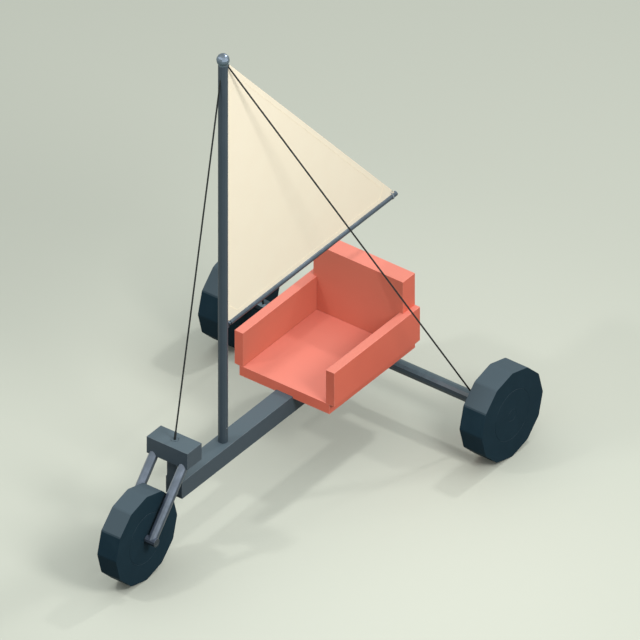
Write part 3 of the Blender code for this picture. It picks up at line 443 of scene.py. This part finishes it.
def weld_bead(name, corners):
    """A bead of weld on the frame along straight runs, with the ripples that its pool leaves."""
    path = stepped([Vector(corner) for corner in corners], WELD_RIPPLE / RIPPLE_STEPS)
    last = len(path) - 1

    def radius(i, turn):
        taper = min(1.0, WELD_END + WELD_GROWTH * min(i, last - i))
        ripple = 1 - RIPPLE_DIP + RIPPLE_DIP * abs(sin(pi * i / RIPPLE_STEPS))
        return WELD_R * taper * ripple

    bead = swept(path, WELD_SIDES, radius)
    fitted(name, bead, weld_paint, "chassis", smooth_below=50)


weld_paint = surface("weld_paint", slate_look(), Specular_IOR_Level=PAINT_SHINE)
for name, edge in SPINE_EDGES.items():
    paint(name, edge)
beam_low, beam_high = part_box("spine_beam")
saddle_low, saddle_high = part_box("axle_saddle")
for side, sign in SIDES.items():
    rail_low, rail_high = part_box("seat_rail_" + side)
    pitch = (rail_high[1] - rail_low[1]) / STITCH_WELDS
    for i in range(STITCH_WELDS):
        middle = rail_low[1] + (i + 0.5) * pitch
        ends = (middle - STITCH_WELD / 2, middle + STITCH_WELD / 2)
        weld_bead(f"rail_weld_{side}_{i + 1}", [(sign * beam_high[0], y, rail_low[2]) for y in ends])
    ends = (saddle_low[1], saddle_high[1] - SADDLE_WELD_SHORT)
    weld_bead("saddle_weld_" + side, [(sign * saddle_high[0], y, beam_low[2]) for y in ends])

# Head: a post that stands on the spine's front end, laps down over it and is welded all round, and a
# deep block that turns on the kingpin in it, on two bronze bushes. A zinc-plated pin holds the kingpin
# in the post. The block takes the tops of the two fork legs.
# Bare metals have a lit and a shaded tone, which metal_look paints on as light and shade: brighter on top and
# darker underneath.
ZINC = (0.420, 0.440, 0.450)
ZINC_SHADED = (0.330, 0.350, 0.365)
ZINC_BARE = 0.8
BRONZE = (0.470, 0.300, 0.125)
BRONZE_SHADED = (0.400, 0.250, 0.100)
BRONZE_BARE = 0.9
HEAD_EDGE = 0.0015
POST_WELD_IN = 0.002  # from the beam's front corner
HAZE = (30.0, 4.0, 0.35, 0.70)  # as SLATE_PATCHES
HAZE_CLEAN = (0.80, 1.00)
METAL_ROUGH = (0.32, 0.40)
TURN_MARKS = 900.0  # to a metre
MARKS = (0.0001, 0.12)  # depth and strength
MARKS_GLOSS = 0.06
MARKS_RUN = 0.02  # how fine marks are along their run, against 1 across it
ALONG_X = (MARKS_RUN, 1, 1)
ALONG_Y = (1, MARKS_RUN, 1)
ALONG_Z = (1, 1, MARKS_RUN)
TOP_SHADE_HEIGHTS = (0.75, 0.95)  # the Z of a normal at which painted shade on the very top starts and is full


def metal_look(shaded_tone, lit_tone, along, brightens=(-0.30, 0.60), painted_top_shade=0.0):
    """Bare metal with fine marks ALONG_X, ALONG_Y or ALONG_Z, painted with light and shade: the shaded tone
    underneath and the lit tone on top.

    The painted light rises as its normal's Z goes from one number to the other. Painted shade dulls the
    very top again, as much as painted_top_shade says.
    """

    def look(place):
        haze = place.patches(*HAZE)
        marks = place.vector("MULTIPLY", along).noise(TURN_MARKS)
        # Painted light and shade: brighter where the normal points up, with painted shade on the very top.
        painted_lit = painted_light_and_dust_on_top(place, brightens) * haze.span(*HAZE_CLEAN)
        painted_lit = painted_lit * (1 - painted_light_and_dust_on_top(place, TOP_SHADE_HEIGHTS) * painted_top_shade)
        return {
            "Base Color": painted_lit.between(shaded_tone, lit_tone),
            "Roughness": haze.span(*METAL_ROUGH) - marks * MARKS_GLOSS,
            "Normal": marks.bump(*MARKS),
        }

    return look


zinc = surface("zinc", metal_look(ZINC_SHADED, ZINC, ALONG_Z), Metallic=ZINC_BARE)
bronze = surface("bronze", metal_look(BRONZE_SHADED, BRONZE, ALONG_Z), Metallic=BRONZE_BARE)
paint("head_post", HEAD_EDGE)
paint("head_block", HEAD_EDGE)
paint("kingpin")
dress("kingpin_cross_pin", zinc)
dress("head_bush_upper", bronze)
dress("head_bush_lower", bronze)
post_low, post_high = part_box("head_post")
post_x = post_high[0]
front_y = beam_low[1]
top_z = beam_high[2]
POST_WELDS = {
    # name: its port half, from one end to the corner
    "post_weld_top": [(post_x, front_y + POST_WELD_IN, top_z), (post_x, post_high[1], top_z)],
    "post_weld_front": [(post_x, front_y, top_z - POST_WELD_IN), (post_x, front_y, post_low[2])],
}
for name, port_half in POST_WELDS.items():
    weld_bead(name, [(-x, y, z) for x, y, z in port_half] + port_half[::-1])

# Fork: two legs of bare steel tube, twelve-sided, raked forward and notched onto a short lug each. The
# tube is drawn, so its fine marks run along it. The front axle bolt goes through both lugs, with a
# spacer sleeve between the wheel's bearings.
# Painted light and shade: the lit and shaded tones of the bare steel.
STEEL = (0.275, 0.325, 0.425)
STEEL_SHADED = (0.034, 0.048, 0.066)
STEEL_BARE = 0.70
STEEL_BRIGHTENS = (0.0, 0.50)
LEG_EDGE = 0.0006
LUG_EDGE = 0.0008
NUT_EDGE = 0.0004
drawn_look = metal_look(STEEL_SHADED, STEEL, ALONG_Z, STEEL_BRIGHTENS)
turned_look = metal_look(STEEL_SHADED, STEEL, ALONG_X, STEEL_BRIGHTENS)
fork_steel = surface("fork_steel", drawn_look, Metallic=STEEL_BARE)
turned_steel = surface("turned_steel", turned_look, Metallic=STEEL_BARE)
for side in SIDES:
    dress("fork_leg_" + side, fork_steel, LEG_EDGE)
    dress("front_axle_lug_" + side, turned_steel, LUG_EDGE)
dress("front_axle_bolt", turned_steel)
dress("front_axle_nut", zinc, NUT_EDGE)
dress("front_axle_sleeve", zinc)

# Wheels: moulded rubber tyres on plastic rims of the same tone, matt, with fine rings moulded in their
# sides, and painted paler where they face up, for dust and for a painted sheen of light from above. A pair
# of sealed bearings is pressed into each hub.
RUBBER = (0.0150, 0.0345, 0.0485)
RUBBER_WORN = (0.0185, 0.0400, 0.0550)
RUBBER_DUST_AND_SHEEN = (0.069, 0.096, 0.113)
RUBBER_SHINE = 0.02
RUBBER_WEAR = (16.0, 4.0, 0.40, 0.75)
RUBBER_ROUGH = (0.52, 0.62)
RUBBER_LUMPS = 500.0  # to a metre
RUBBER_GRAIN = (0.0003, 0.15)  # depth and strength
RING_PITCH = 0.007
RING_HEIGHT = 0.5  # as a share of the grain's
RINGS_START = (0.125, 0.135)  # from the axle
RINGS_END = (0.185, 0.175)
TYRE_EDGE = 0.0012
TYRE_TURN = 20
RIM_EDGE = 0.0006
SEAL = (0.020, 0.020, 0.022)
SEAL_INSIDE = (0.0105, 0.0110)  # from the axle
SEAL_OUTSIDE = (0.0140, 0.0135)
BEARING_ROUGH = (0.25, 0.55)
WHEELS = {
    # name: (tyre, rim pieces, bearings)
    "front": ("front_tyre", ["front_rim"], ["front_bearing_left", "front_bearing_right"]),
    "rear_left": (
        "rear_tyre_left",
        ["rear_rim_left", "rear_hub_cap_left"],
        ["rear_bearing_inner_left", "rear_bearing_outer_left"],
    ),
    "rear_right": (
        "rear_tyre_right",
        ["rear_rim_right", "rear_hub_cap_right"],
        ["rear_bearing_inner_right", "rear_bearing_outer_right"],
    ),
}


def middle_of(name):
    low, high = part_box(name)
    return (Vector(low) + Vector(high)) / 2


def from_axle(place, middle):
    """The distance from a wheel's axle, which runs along X through the middle."""
    return place.vector("SUBTRACT", middle).vector("MULTIPLY", (0, 1, 1)).length()


def rubber_look(middle):
    """Rubber with rings round the wheel's axle."""

    def look(place):
        worn = place.patches(*RUBBER_WEAR)
        out = from_axle(place, middle)
        rings = (out * (2 * pi / RING_PITCH)).sine() * out.rise(*RINGS_START) * out.rise(*RINGS_END)
        return {
            # Painted sheen: the facets that face up are painted paler for light from above, as well as for
            # dust.
            "Base Color": painted_light_and_dust_on_top(place).between(worn.between(RUBBER, RUBBER_WORN), RUBBER_DUST_AND_SHEEN),
            "Roughness": worn.span(*RUBBER_ROUGH),
            "Normal": (rings * RING_HEIGHT + place.noise(RUBBER_LUMPS)).bump(*RUBBER_GRAIN),
        }

    return look


def bearing_look(middle):
    """A sealed bearing: a black rubber seal between two steel rings."""

    def look(place):
        out = from_axle(place, middle)
        seal = out.rise(*SEAL_INSIDE) * out.rise(*SEAL_OUTSIDE)
        return {
            "Base Color": seal.between(ZINC, SEAL),
            "Roughness": seal.span(*BEARING_ROUGH),
            "Metallic": 1 - seal,
        }

    return look


for wheel, (tyre, rim_pieces, bearings) in WHEELS.items():
    middle = middle_of(tyre)
    rubber = surface(wheel + "_rubber", rubber_look(middle), Specular_IOR_Level=RUBBER_SHINE)
    bearing_steel = surface(wheel + "_bearing", bearing_look(middle))
    dress(tyre, rubber, TYRE_EDGE, TYRE_TURN)
    for name in rim_pieces:
        dress(name, rubber, RIM_EDGE)
    for name in bearings:
        dress(name, bearing_steel)

# Rear axle: a twelve-sided steel tube under the spine, with a turned spindle plugged into each end and
# a nut on each spindle. Two bolts hold the axle and its saddle up to the spine.
# Painted light and shade: the axle is painted brightest on its facets that slope at about 45 degrees, darker
# underneath, and dulled by painted shade on the very top.
AXLE = (0.195, 0.278, 0.325)
AXLE_SHADED = (0.042, 0.060, 0.080)
AXLE_BARE = 0.45
AXLE_BRIGHTENS = (0.20, 0.80)
AXLE_TOP_SHADE = 0.50
AXLE_EDGE = 0.0010
SPINDLE_NUT_EDGE = 0.0005
axle_look = metal_look(AXLE_SHADED, AXLE, ALONG_X, AXLE_BRIGHTENS, AXLE_TOP_SHADE)
axle_steel = surface("axle_steel", axle_look, Metallic=AXLE_BARE)
dress("rear_axle", axle_steel, AXLE_EDGE)
for side in SIDES:
    dress("rear_spindle_" + side, turned_steel)
    dress("spindle_nut_" + side, zinc, SPINDLE_NUT_EDGE)
    dress("axle_bolt_" + side, zinc, NUT_EDGE)

# Mast: a tube in slate paint, pinned to a step that a bolt holds to the spine. A polished ball is
# plugged into its top, and a small tang behind it holds the luff wire.
BALL_R = 0.0268
# Painted reflection and shade: the ball is painted bright on top and dark underneath.
BALL_LIT = (0.300, 0.370, 0.480)
BALL_SHADED = (0.070, 0.110, 0.140)
BALL_BRIGHTENS = (-0.50, 0.70)
BALL_LUMPS = 40.0  # to a metre
BALL_ROUGH = (0.38, 0.44)
PIN_EDGE = 0.0004
TANG_EDGE = 0.0005


def polished_look(place):
    return {
        # Painted reflection and shade, by how far each facet faces up.
        "Base Color": painted_light_and_dust_on_top(place, BALL_BRIGHTENS).between(BALL_SHADED, BALL_LIT),
        "Roughness": place.noise(BALL_LUMPS).span(*BALL_ROUGH),
    }


polished = surface("polished", polished_look, Metallic=1.0)
paint("mast")
dress("mast_step", turned_steel)
dress("mast_step_bolt", zinc)
dress("mast_pin", zinc, PIN_EDGE)
dress("masthead_ball", polished)
dress("masthead_tang", turned_steel, TANG_EDGE)

# Stays: six-strand wire rope, dark with oil, with a swaged sleeve at the foot. The forestay is seated
# in the kingpin's head, the shrouds in the rear axle near its ends, and all three in the ball.
WIRE = (0.010, 0.013, 0.014)
WIRE_OILY = (0.016, 0.020, 0.022)
WIRE_BARE = 0.2
WIRE_OIL = (25.0, 3.0, 0.35, 0.70)
WIRE_ROUGH = (0.38, 0.50)
ROPE_R = 0.0036
ROPE_STRANDS = 6
ROPE_LAY = 0.044  # one turn of the strands
ROPE_STEP = 0.0030
ROPE_SIDES = 24
SWAGE_R = 0.0048
SWAGE_L = 0.040
SWAGE_NECK = 0.005
SWAGE_LIP = 0.0008
SWAGE_PROFILE = (
    # along it, and its radius there
    (0, SWAGE_R - SWAGE_LIP),
    (SWAGE_LIP, SWAGE_R),
    (SWAGE_L - SWAGE_NECK, SWAGE_R),
    (SWAGE_L, ROPE_R),
)
FORESTAY_SEAT = 0.005
SHROUD_INBOARD = 0.0515  # of the rear axle's end
SHROUD_FOOT_UP = 0.014
STAY_END = 0.011  # from the mast's middle line


def strand_radius(turn):
    """The outline of a rope of round strands, at an angle from the middle of one of them."""
    off = (turn + pi / ROPE_STRANDS) % (2 * pi / ROPE_STRANDS) - pi / ROPE_STRANDS
    return ROPE_R / 3 * (2 * cos(off) + sqrt(max(0.0, 1 - 4 * sin(off) ** 2)))


def wire_look(place):
    oil = place.patches(*WIRE_OIL)
    return {"Base Color": oil.between(WIRE, WIRE_OILY), "Roughness": oil.span(*WIRE_ROUGH)}


wire = surface("stay_wire", wire_look, Metallic=WIRE_BARE)
ball = middle_of("masthead_ball")
ball.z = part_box("masthead_ball")[1][2] - BALL_R
forestay_foot = middle_of("kingpin")
forestay_foot.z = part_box("kingpin")[1][2]
shroud_foot = middle_of("rear_axle")
shroud_foot.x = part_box("rear_axle")[1][0] - SHROUD_INBOARD
STAYS = {
    # name: (where its line meets the foot, how far above that it starts)
    "forestay": (forestay_foot, -FORESTAY_SEAT),
    "shroud_left": (shroud_foot, SHROUD_FOOT_UP),
    "shroud_right": (shroud_foot * Vector((-1, 1, 1)), SHROUD_FOOT_UP),
}
twist = 2 * pi * ROPE_STEP / ROPE_LAY
for name, (foot, start) in STAYS.items():
    up = (ball - foot).normalized()
    low = foot + up * start
    rope_low = low + up * (SWAGE_L - SWAGE_NECK)
    rope_high = ball - up * (STAY_END / hypot(up.x, up.y))
    path = stepped([rope_low, rope_high], ROPE_STEP)
    strands = swept(path, ROPE_SIDES, lambda i, turn: strand_radius(turn - twist * i))
    rope = fitted(name + "_rope", strands, wire, "chassis", smooth_below=60)
    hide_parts(name)
    path = [low + up * along for along, _ in SWAGE_PROFILE]
    sleeve = swept(path, ROPE_SIDES, lambda i, turn: SWAGE_PROFILE[i][1])
    fitted(name + "_swage", sleeve, wire, "chassis", smooth_below=40)
dress("luff_wire", wire)

# Boom: a bare aluminium tube that swings on the gooseneck pin behind the mast, with an eye plugged into
# its front end.
# Painted light and shade: the lit and shaded tones of the aluminium.
ALUMINIUM = (0.190, 0.240, 0.310)
ALUMINIUM_SHADED = (0.034, 0.044, 0.064)
ALUMINIUM_BRIGHTENS = (-0.40, 1.00)
BOOM_EDGE = 0.0006
BRACKET_EDGE = 0.0005
boom_look = metal_look(ALUMINIUM_SHADED, ALUMINIUM, ALONG_Y, ALUMINIUM_BRIGHTENS)
boom_metal = surface("boom_metal", boom_look, Metallic=STEEL_BARE)
dress("boom", boom_metal, BOOM_EDGE)
dress("boom_eye", boom_metal, BOOM_EDGE)
dress("gooseneck_bracket", turned_steel, BRACKET_EDGE)
dress("gooseneck_pin", zinc, PIN_EDGE)

# Sail: one flat triangle of plain cream cloth. Its luff is folded round the luff wire and sewn down, so
# that it turns on it. The leech and foot are hemmed, each corner has a patch of a second layer, and the
# clew has a pressed eyelet. Every edge is sewn with a zigzag stitch.
CREAM = (0.925, 0.825, 0.640)
CREAM_DULL = (0.905, 0.805, 0.620)
CREAM_PAINTED_GLOW = (0.940, 0.840, 0.650, 1.0)
PAINTED_GLOW = 0.09  # painted light: the cloth glows a little, in place of the light that comes through from the other side
CLOTH_PATCHES = (9.0, 3.0, 0.35, 0.65)
CLOTH_ROUGH = (0.76, 0.88)
YARN_LUMPS = 25.0  # to a metre, along a yarn
YARN_FINE = 60  # how much finer they are across it
WEAVE = (0.0004, 0.35)  # depth and strength
THREAD = (0.800, 0.700, 0.520)
THREAD_LUMPS = 900.0  # to a metre
THREAD_ROUGH = 0.8
CLOTH_T = 0.0010
HEM_T = 0.0019
PATCH_T = 0.0028
HEM_W = 0.022
LUFF_SEAM = 0.016
FULLNESS = 0.004  # how far the middle of the sail stands out to port
FULL_LOW = 1.2  # the larger, the less of the fullness is low down
SAIL_ROWS = 90
SAIL_COLUMNS = 60
HEM_CELLS = 4
PATCH_CELLS = 12
SLIVER = 0.00002  # edges shorter than this are taken out
SLEEVE_R = 0.0045
SLEEVE_BORE = 0.0030
CLOTH_FROM_WIRE = SLEEVE_R * 0.5  # so that the sleeve's back covers its edge
SLEEVE_SIDES = 16
SLEEVE_UP = 0.004  # from the luff wire's lower end
SLEEVE_STEP = 0.010
TACK_CUT = 0.010
HEAD_PATCH = 0.130
CLEW_PATCH = 0.105
TACK_PATCH = 0.085
PATCH_TIP = 0.95
THREAD_R = 0.0003
THREAD_SIDES = 4
STITCH_STEP = 0.0022
STITCH_HALF = 0.0013
SEAM_IN = 0.003  # from a seam to the edge of its layer
EYELET_FROM_CLEW = 0.018
EYELET_UP = 0.010
EYELET_R = 0.0035
EYELET_RING_R = 0.0020
EYELET_RING_SIDES = 12
EYELET_SIDES = 32

sail_low, sail_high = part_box("sail")
luff = middle_of("luff_wire").y
foot_z = sail_low[2]
head_z = sail_high[2]
clew_y = sail_high[1]
leech_lean = (clew_y - middle_of("mast").y) / (ball.z - foot_z)


def leech_y(z):
    return clew_y - leech_lean * (z - foot_z)


def luff_y(z):
    """Where the flat of the sail starts: in the sleeve's wall, but cut back at the tack."""
    return luff + CLOTH_FROM_WIRE + max(0.0, TACK_CUT - CLOTH_FROM_WIRE - (z - foot_z))


def on_sail(y, z, off=0.0):
    """The place of a point of the sail's plane on the slightly full cloth, off to one side of it."""
    up = (z - foot_z) / (head_z - foot_z)
    aft = min(1.0, max(0.0, (y - luff) / (leech_y(z) - luff)))
    return Vector((FULLNESS * sin(pi * aft) * sin(pi * up) * (FULL_LOW - up) + off, y, z))


def sail_part(z_low, z_high, start, end):
    """A band of the sail between two heights and two edges, which are functions of the height."""

    def flat(across, up):
        z = z_low + (z_high - z_low) * up
        first = max(start(z), luff_y(z))
        return first + (max(end(z), first) - first) * across, z

    return flat


def cloth_layer(name, flat, columns, rows, thickness):
    """A layer of cloth on the sail: flat(across, up), both from 0 to 1, gives its Y and Z."""
    bm = bmesh.new()
    grids = []
    for off in (-thickness / 2, thickness / 2):
        grid = []
        for i in range(rows + 1):
            spots = [flat(j / columns, i / rows) for j in range(columns + 1)]
            grid.append([bm.verts.new(on_sail(y, z, off)) for y, z in spots])
        grids.append(grid)
    starboard, port = grids
    for i in range(rows):
        for j in range(columns):
            bm.faces.new((port[i][j], port[i][j + 1], port[i + 1][j + 1], port[i + 1][j]))
            bm.faces.new((starboard[i][j], starboard[i + 1][j], starboard[i + 1][j + 1], starboard[i][j + 1]))
    rim = [(0, j) for j in range(columns)] + [(i, columns) for i in range(rows)]
    rim += [(rows, j) for j in range(columns, 0, -1)] + [(i, 0) for i in range(rows, 0, -1)]
    for (i, j), (m, n) in zip(rim, rim[1:] + rim[:1]):
        bm.faces.new((starboard[i][j], starboard[m][n], port[m][n], port[i][j]))
    bmesh.ops.dissolve_degenerate(bm, dist=SLIVER, edges=bm.edges)
    return fitted(name, bm, cloth, "rig", smooth_below=30)


def cloth_look(place):
    """Plain weave: yarns up and along the sail, a few of them thicker, and a little unevenness."""
    patches = place.patches(*CLOTH_PATCHES)
    warp = place.vector("MULTIPLY", (1, YARN_FINE, 1)).noise(YARN_LUMPS)
    weft = place.vector("MULTIPLY", (1, 1, YARN_FINE)).noise(YARN_LUMPS)
    weave = warp * 0.5 + weft * 0.5
    return {
        "Base Color": (patches * 0.5 + weave * 0.5).between(CREAM_DULL, CREAM),
        "Roughness": weave.span(*CLOTH_ROUGH),
        "Normal": weave.bump(*WEAVE),
    }


def thread_look(place):
    return {"Base Color": place.noise(THREAD_LUMPS).between(THREAD, CREAM)}


# Painted light: the cloth glows a little.
cloth = surface("sailcloth", cloth_look, Emission_Color=CREAM_PAINTED_GLOW, Emission_Strength=PAINTED_GLOW)
thread = surface("sail_thread", thread_look, Roughness=THREAD_ROUGH)
leech_foot = Vector((0, clew_y, foot_z))
leech_run = (Vector((0, leech_y(head_z), head_z)) - leech_foot).normalized()
hem_across = HEM_W / leech_run.z
clew_cut = Vector((clew_y - CLEW_PATCH, foot_z))
clew_tip = leech_foot.yz + leech_run.yz * CLEW_PATCH
clew_slope = (clew_tip.x - clew_cut.x) / (clew_tip.y - clew_cut.y)
clew_patch_z = foot_z + (clew_tip.y - foot_z) * PATCH_TIP
head_patch_z = head_z - HEAD_PATCH
tack_patch_z = foot_z + TACK_PATCH * PATCH_TIP


def leech_hem_y(z):
    return leech_y(z) - hem_across


def luff_seam_y(z):
    return luff + LUFF_SEAM


def clew_patch_y(z):
    return clew_cut.x + clew_slope * (z - foot_z)


def tack_patch_y(z):
    return luff + foot_z + TACK_PATCH - z


LAYERS = {
    # name: (place in the sail, columns, rows, thickness)
    "sail_cloth": (sail_part(foot_z, head_z, luff_y, leech_y), SAIL_COLUMNS, SAIL_ROWS, CLOTH_T),
    "sail_hem_leech": (sail_part(foot_z, head_z, leech_hem_y, leech_y), HEM_CELLS, SAIL_ROWS, HEM_T),
    "sail_hem_foot": (sail_part(foot_z, foot_z + HEM_W, luff_y, leech_y), SAIL_COLUMNS, HEM_CELLS, HEM_T),
    "sail_hem_luff": (
        sail_part(foot_z + HEM_W, head_patch_z, luff_y, luff_seam_y),
        HEM_CELLS,
        SAIL_ROWS,
        HEM_T,
    ),
    "sail_patch_head": (sail_part(head_patch_z, head_z, luff_y, leech_y), PATCH_CELLS, PATCH_CELLS, PATCH_T),
    "sail_patch_clew": (
        sail_part(foot_z, clew_patch_z, clew_patch_y, leech_y),
        PATCH_CELLS,
        PATCH_CELLS,
        PATCH_T,
    ),
    "sail_patch_tack": (
        sail_part(foot_z, tack_patch_z, luff_y, tack_patch_y),
        PATCH_CELLS,
        PATCH_CELLS,
        PATCH_T,
    ),
}
layers = {name: cloth_layer(name, *layer) for name, layer in LAYERS.items()}
sail = layers.pop("sail_cloth")

eyelet = Vector((0, clew_y - EYELET_FROM_CLEW, foot_z + EYELET_UP))
bm = bmesh.new()
bmesh.ops.create_cone(
    bm,
    segments=EYELET_SIDES,
    radius1=EYELET_R,
    radius2=EYELET_R,
    depth=2 * HEM_W,
    cap_ends=True,
    matrix=Matrix.Translation(eyelet) @ Matrix.Rotation(radians(90), 4, "Y"),
)
punch = new_piece("eyelet_punch", bm, cloth)
for layer in (sail, layers["sail_hem_foot"], layers["sail_patch_clew"]):
    hole = layer.modifiers.new("hole", "BOOLEAN")
    hole.object = punch
    punched = bpy.data.meshes.new_from_object(layer.evaluated_get(bpy.context.evaluated_depsgraph_get()))
    layer.modifiers.remove(hole)
    layer.data = punched
bpy.data.objects.remove(punch)
path = []
for i in range(EYELET_SIDES):
    turn = 2 * pi * i / EYELET_SIDES
    path.append(eyelet + Vector((0, cos(turn), sin(turn))) * (EYELET_R + EYELET_RING_R))
ring = swept(path, EYELET_RING_SIDES, lambda i, turn: EYELET_RING_R, closed=True)
eyelet_ring = fitted("sail_eyelet", ring, zinc, "rig", smooth_below=60)

sleeve_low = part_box("luff_wire")[0][2] + SLEEVE_UP
heights = [point.z for point in stepped([Vector((0, 0, sleeve_low)), Vector((0, 0, head_z))], SLEEVE_STEP)]
turns = [2 * pi * j / SLEEVE_SIDES for j in range(SLEEVE_SIDES)]
bm = bmesh.new()
rings = []
for radius, levels in ((SLEEVE_R, heights), (SLEEVE_BORE, heights[::-1])):
    for z in levels:
        rings.append([bm.verts.new((radius * cos(turn), luff + radius * sin(turn), z)) for turn in turns])
for first, second in zip(rings, rings[1:] + rings[:1]):
    bridge(bm, first, second)
layers["sail_sleeve"] = fitted("sail_sleeve", bm, cloth, "rig", smooth_below=50)

SEAMS = {
    # name: (start, end, thickness of the layer that is sewn down), with places as (y, z)
    "leech": (
        (leech_hem_y(clew_patch_z) + SEAM_IN, clew_patch_z),
        (leech_hem_y(head_patch_z) + SEAM_IN, head_patch_z),
        HEM_T,
    ),
    "foot": (
        (luff + TACK_PATCH - HEM_W, foot_z + HEM_W - SEAM_IN),
        (clew_cut.x + clew_slope * HEM_W, foot_z + HEM_W - SEAM_IN),
        HEM_T,
    ),
    "luff": (
        (luff + LUFF_SEAM - SEAM_IN, tack_patch_z),
        (luff + LUFF_SEAM - SEAM_IN, head_patch_z),
        HEM_T,
    ),
    "head": (
        (luff_y(head_patch_z) + SEAM_IN, head_patch_z + SEAM_IN),
        (leech_y(head_patch_z) - 2 * SEAM_IN, head_patch_z + SEAM_IN),
        PATCH_T,
    ),
    "clew": (
        (clew_cut.x + 2 * SEAM_IN, foot_z + SEAM_IN),
        (clew_tip.x + (clew_cut.x - clew_tip.x) * (1 - PATCH_TIP) + SEAM_IN, clew_patch_z - SEAM_IN),
        PATCH_T,
    ),
    "tack": (
        (luff + TACK_PATCH - 2 * SEAM_IN, foot_z + SEAM_IN),
        (luff_y(tack_patch_z) + SEAM_IN, tack_patch_z - 2 * SEAM_IN),
        PATCH_T,
    ),
}
for name, (start, end, thickness) in SEAMS.items():
    start = Vector(start)
    run = Vector(end) - start
    beside = run.normalized().orthogonal() * STITCH_HALF
    count = round(run.length / STITCH_STEP)
    spots = [start + run * (i / count) + beside * (1 if i % 2 else -1) for i in range(count + 1)]
    for side, sign in (("port", 1), ("starboard", -1)):
        path = [on_sail(*spot, sign * thickness / 2) for spot in spots]
        zigzag = swept(path, THREAD_SIDES, lambda i, turn: THREAD_R)
        row = f"stitches_{name}_{side}"
        layers[row] = fitted(row, zigzag, thread, "rig")

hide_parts("sail")
(clew_y - luff + leech_y(head_z) - luff) * (head_z - foot_z) / 2

# Lashing: three turns of braided cord through the eyelet and round the boom, drawn tight and knotted on
# the port side of the boom.
CORD = (0.330, 0.370, 0.400)
CORD_SHADE = (0.200, 0.230, 0.255)
CORD_ROUGH = 0.75
CORD_R = 0.0009
CORD_SIDES = 10
CORD_TURNS = 3
CORD_PITCH = 0.0017
CORD_CROWD = 0.4  # how much closer the turns lie in the eyelet than on the boom
CORD_GAP = 0.0002
BRAID = 0.0016  # from one crossing of the braid to the next
BRAID_LIT = (0.1, 0.9)
BRAID_DEPTH = (0.0003, 0.4)  # depth and strength
KNOT_SIZE = 0.0011
KNOT_POINTS = 48


def braid_look(place):
    ahead = place.axis("Z") + place.axis("X")
    around = place.axis("Z") - place.axis("X")
    strands = (ahead * (2 * pi / BRAID)).sine() * (around * (2 * pi / BRAID)).sine()
    lit = strands.span(0.5, 1.0).rise(*BRAID_LIT)
    return {"Base Color": lit.between(CORD_SHADE, CORD), "Normal": lit.bump(*BRAID_DEPTH)}


def lashed(name, path):
    """A closed loop of the cord."""
    loop = swept(path, CORD_SIDES, lambda i, turn: CORD_R, closed=True)
    return fitted(name, loop, cord, "rig", smooth_below=60)


cord = surface("lashing_cord", braid_look, Roughness=CORD_ROUGH)
boom_low, boom_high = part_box("boom")
boom_r = (boom_high[2] - boom_low[2]) / 2
boom_z = boom_low[2] + boom_r
round_boom = boom_r + CORD_R + CORD_GAP
apex = eyelet.z - EYELET_R + CORD_R - boom_z
leave = acos(round_boom / apex)
for i in range(CORD_TURNS):
    off = (i - (CORD_TURNS - 1) / 2) * CORD_PITCH
    middle = Vector((0, eyelet.y + off, boom_z))
    path = [middle + Vector((0, -off * CORD_CROWD, apex))]
    for j in range(EYELET_SIDES + 1):
        turn = leave + (2 * pi - 2 * leave) * j / EYELET_SIDES
        path.append(middle + Vector((sin(turn), 0, cos(turn))) * round_boom)
    lashed(f"lashing_turn_{i + 1}", path)
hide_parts("clew_lashing")
knot_middle = Vector((round_boom + CORD_R, eyelet.y, boom_z))
path = []
for i in range(KNOT_POINTS):
    turn = 2 * pi * i / KNOT_POINTS
    trefoil = Vector((sin(3 * turn), sin(turn) + 2 * sin(2 * turn), cos(turn) - 2 * cos(2 * turn)))
    path.append(knot_middle + trefoil * KNOT_SIZE)
lashed("lashing_knot", path)

# Seat: four moulded pieces in coral plastic, screwed together from inside: a floor, two sides and a
# back. The plastic has a fine moulded grain, and its corners are rubbed a little paler.
CORAL = (0.800, 0.166, 0.100)
CORAL_DULL = (0.780, 0.158, 0.095)
CORAL_FADE_AND_SHEEN = (0.745, 0.220, 0.160)
CORAL_RUBBED = (0.800, 0.250, 0.180)
CORAL_PAINTED_SHADE = (0.620, 0.178, 0.115)
CORAL_PATCHES = (9.0, 3.0, 0.35, 0.65)
CORAL_ROUGH = (0.50, 0.56)
INSIDE_ROUGH = 0.06
FACING_IN = (0.5, 0.9)  # how far a normal points inward where the painted shade and the added roughness start and are full
GRAIN_LUMPS = 600.0  # to a metre
GRAIN = (0.0002, 0.12)  # depth and strength
SEAT = {
    # name: (the way into the seat, how round its edges are)
    "seat_floor": ((0, 0, 0), 0.0007),
    "seat_side_left": ((-1, 0, 0), 0.0012),
    "seat_side_right": ((1, 0, 0), 0.0012),
    "seat_back": ((0, -1, 0), 0.0012),
}


def coral_look(low, high, inward):
    """Coral plastic: painted paler on top, for fading and a painted sheen of light from above, and on the
    side that faces into the seat painted darker with painted shade and made a little rougher.
    """

    def look(place):
        patches = place.patches(*CORAL_PATCHES)
        turned_in = Shade(place.tree).node("TexCoord", output="Normal").vector("MULTIPLY", inward)
        inside = (turned_in.axis("X") + turned_in.axis("Y")).rise(*FACING_IN)
        # Painted sheen: the top is painted paler for light from above, as well as for fading.
        colour = painted_light_and_dust_on_top(place).between(patches.between(CORAL_DULL, CORAL), CORAL_FADE_AND_SHEEN)
        # Painted shade: the faces that look into the seat are painted darker.
        colour = inside.between(colour, CORAL_PAINTED_SHADE)
        return {
            "Base Color": rubbed_edges(place, low, high).between(colour, CORAL_RUBBED),
            "Roughness": patches.span(*CORAL_ROUGH) + inside * INSIDE_ROUGH,
            "Normal": place.noise(GRAIN_LUMPS).bump(*GRAIN),
        }

    return look


for name, (inward, edge) in SEAT.items():
    coral = surface(name + "_plastic", coral_look(*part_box(name), inward))
    dress(name, coral, edge)

low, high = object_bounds()
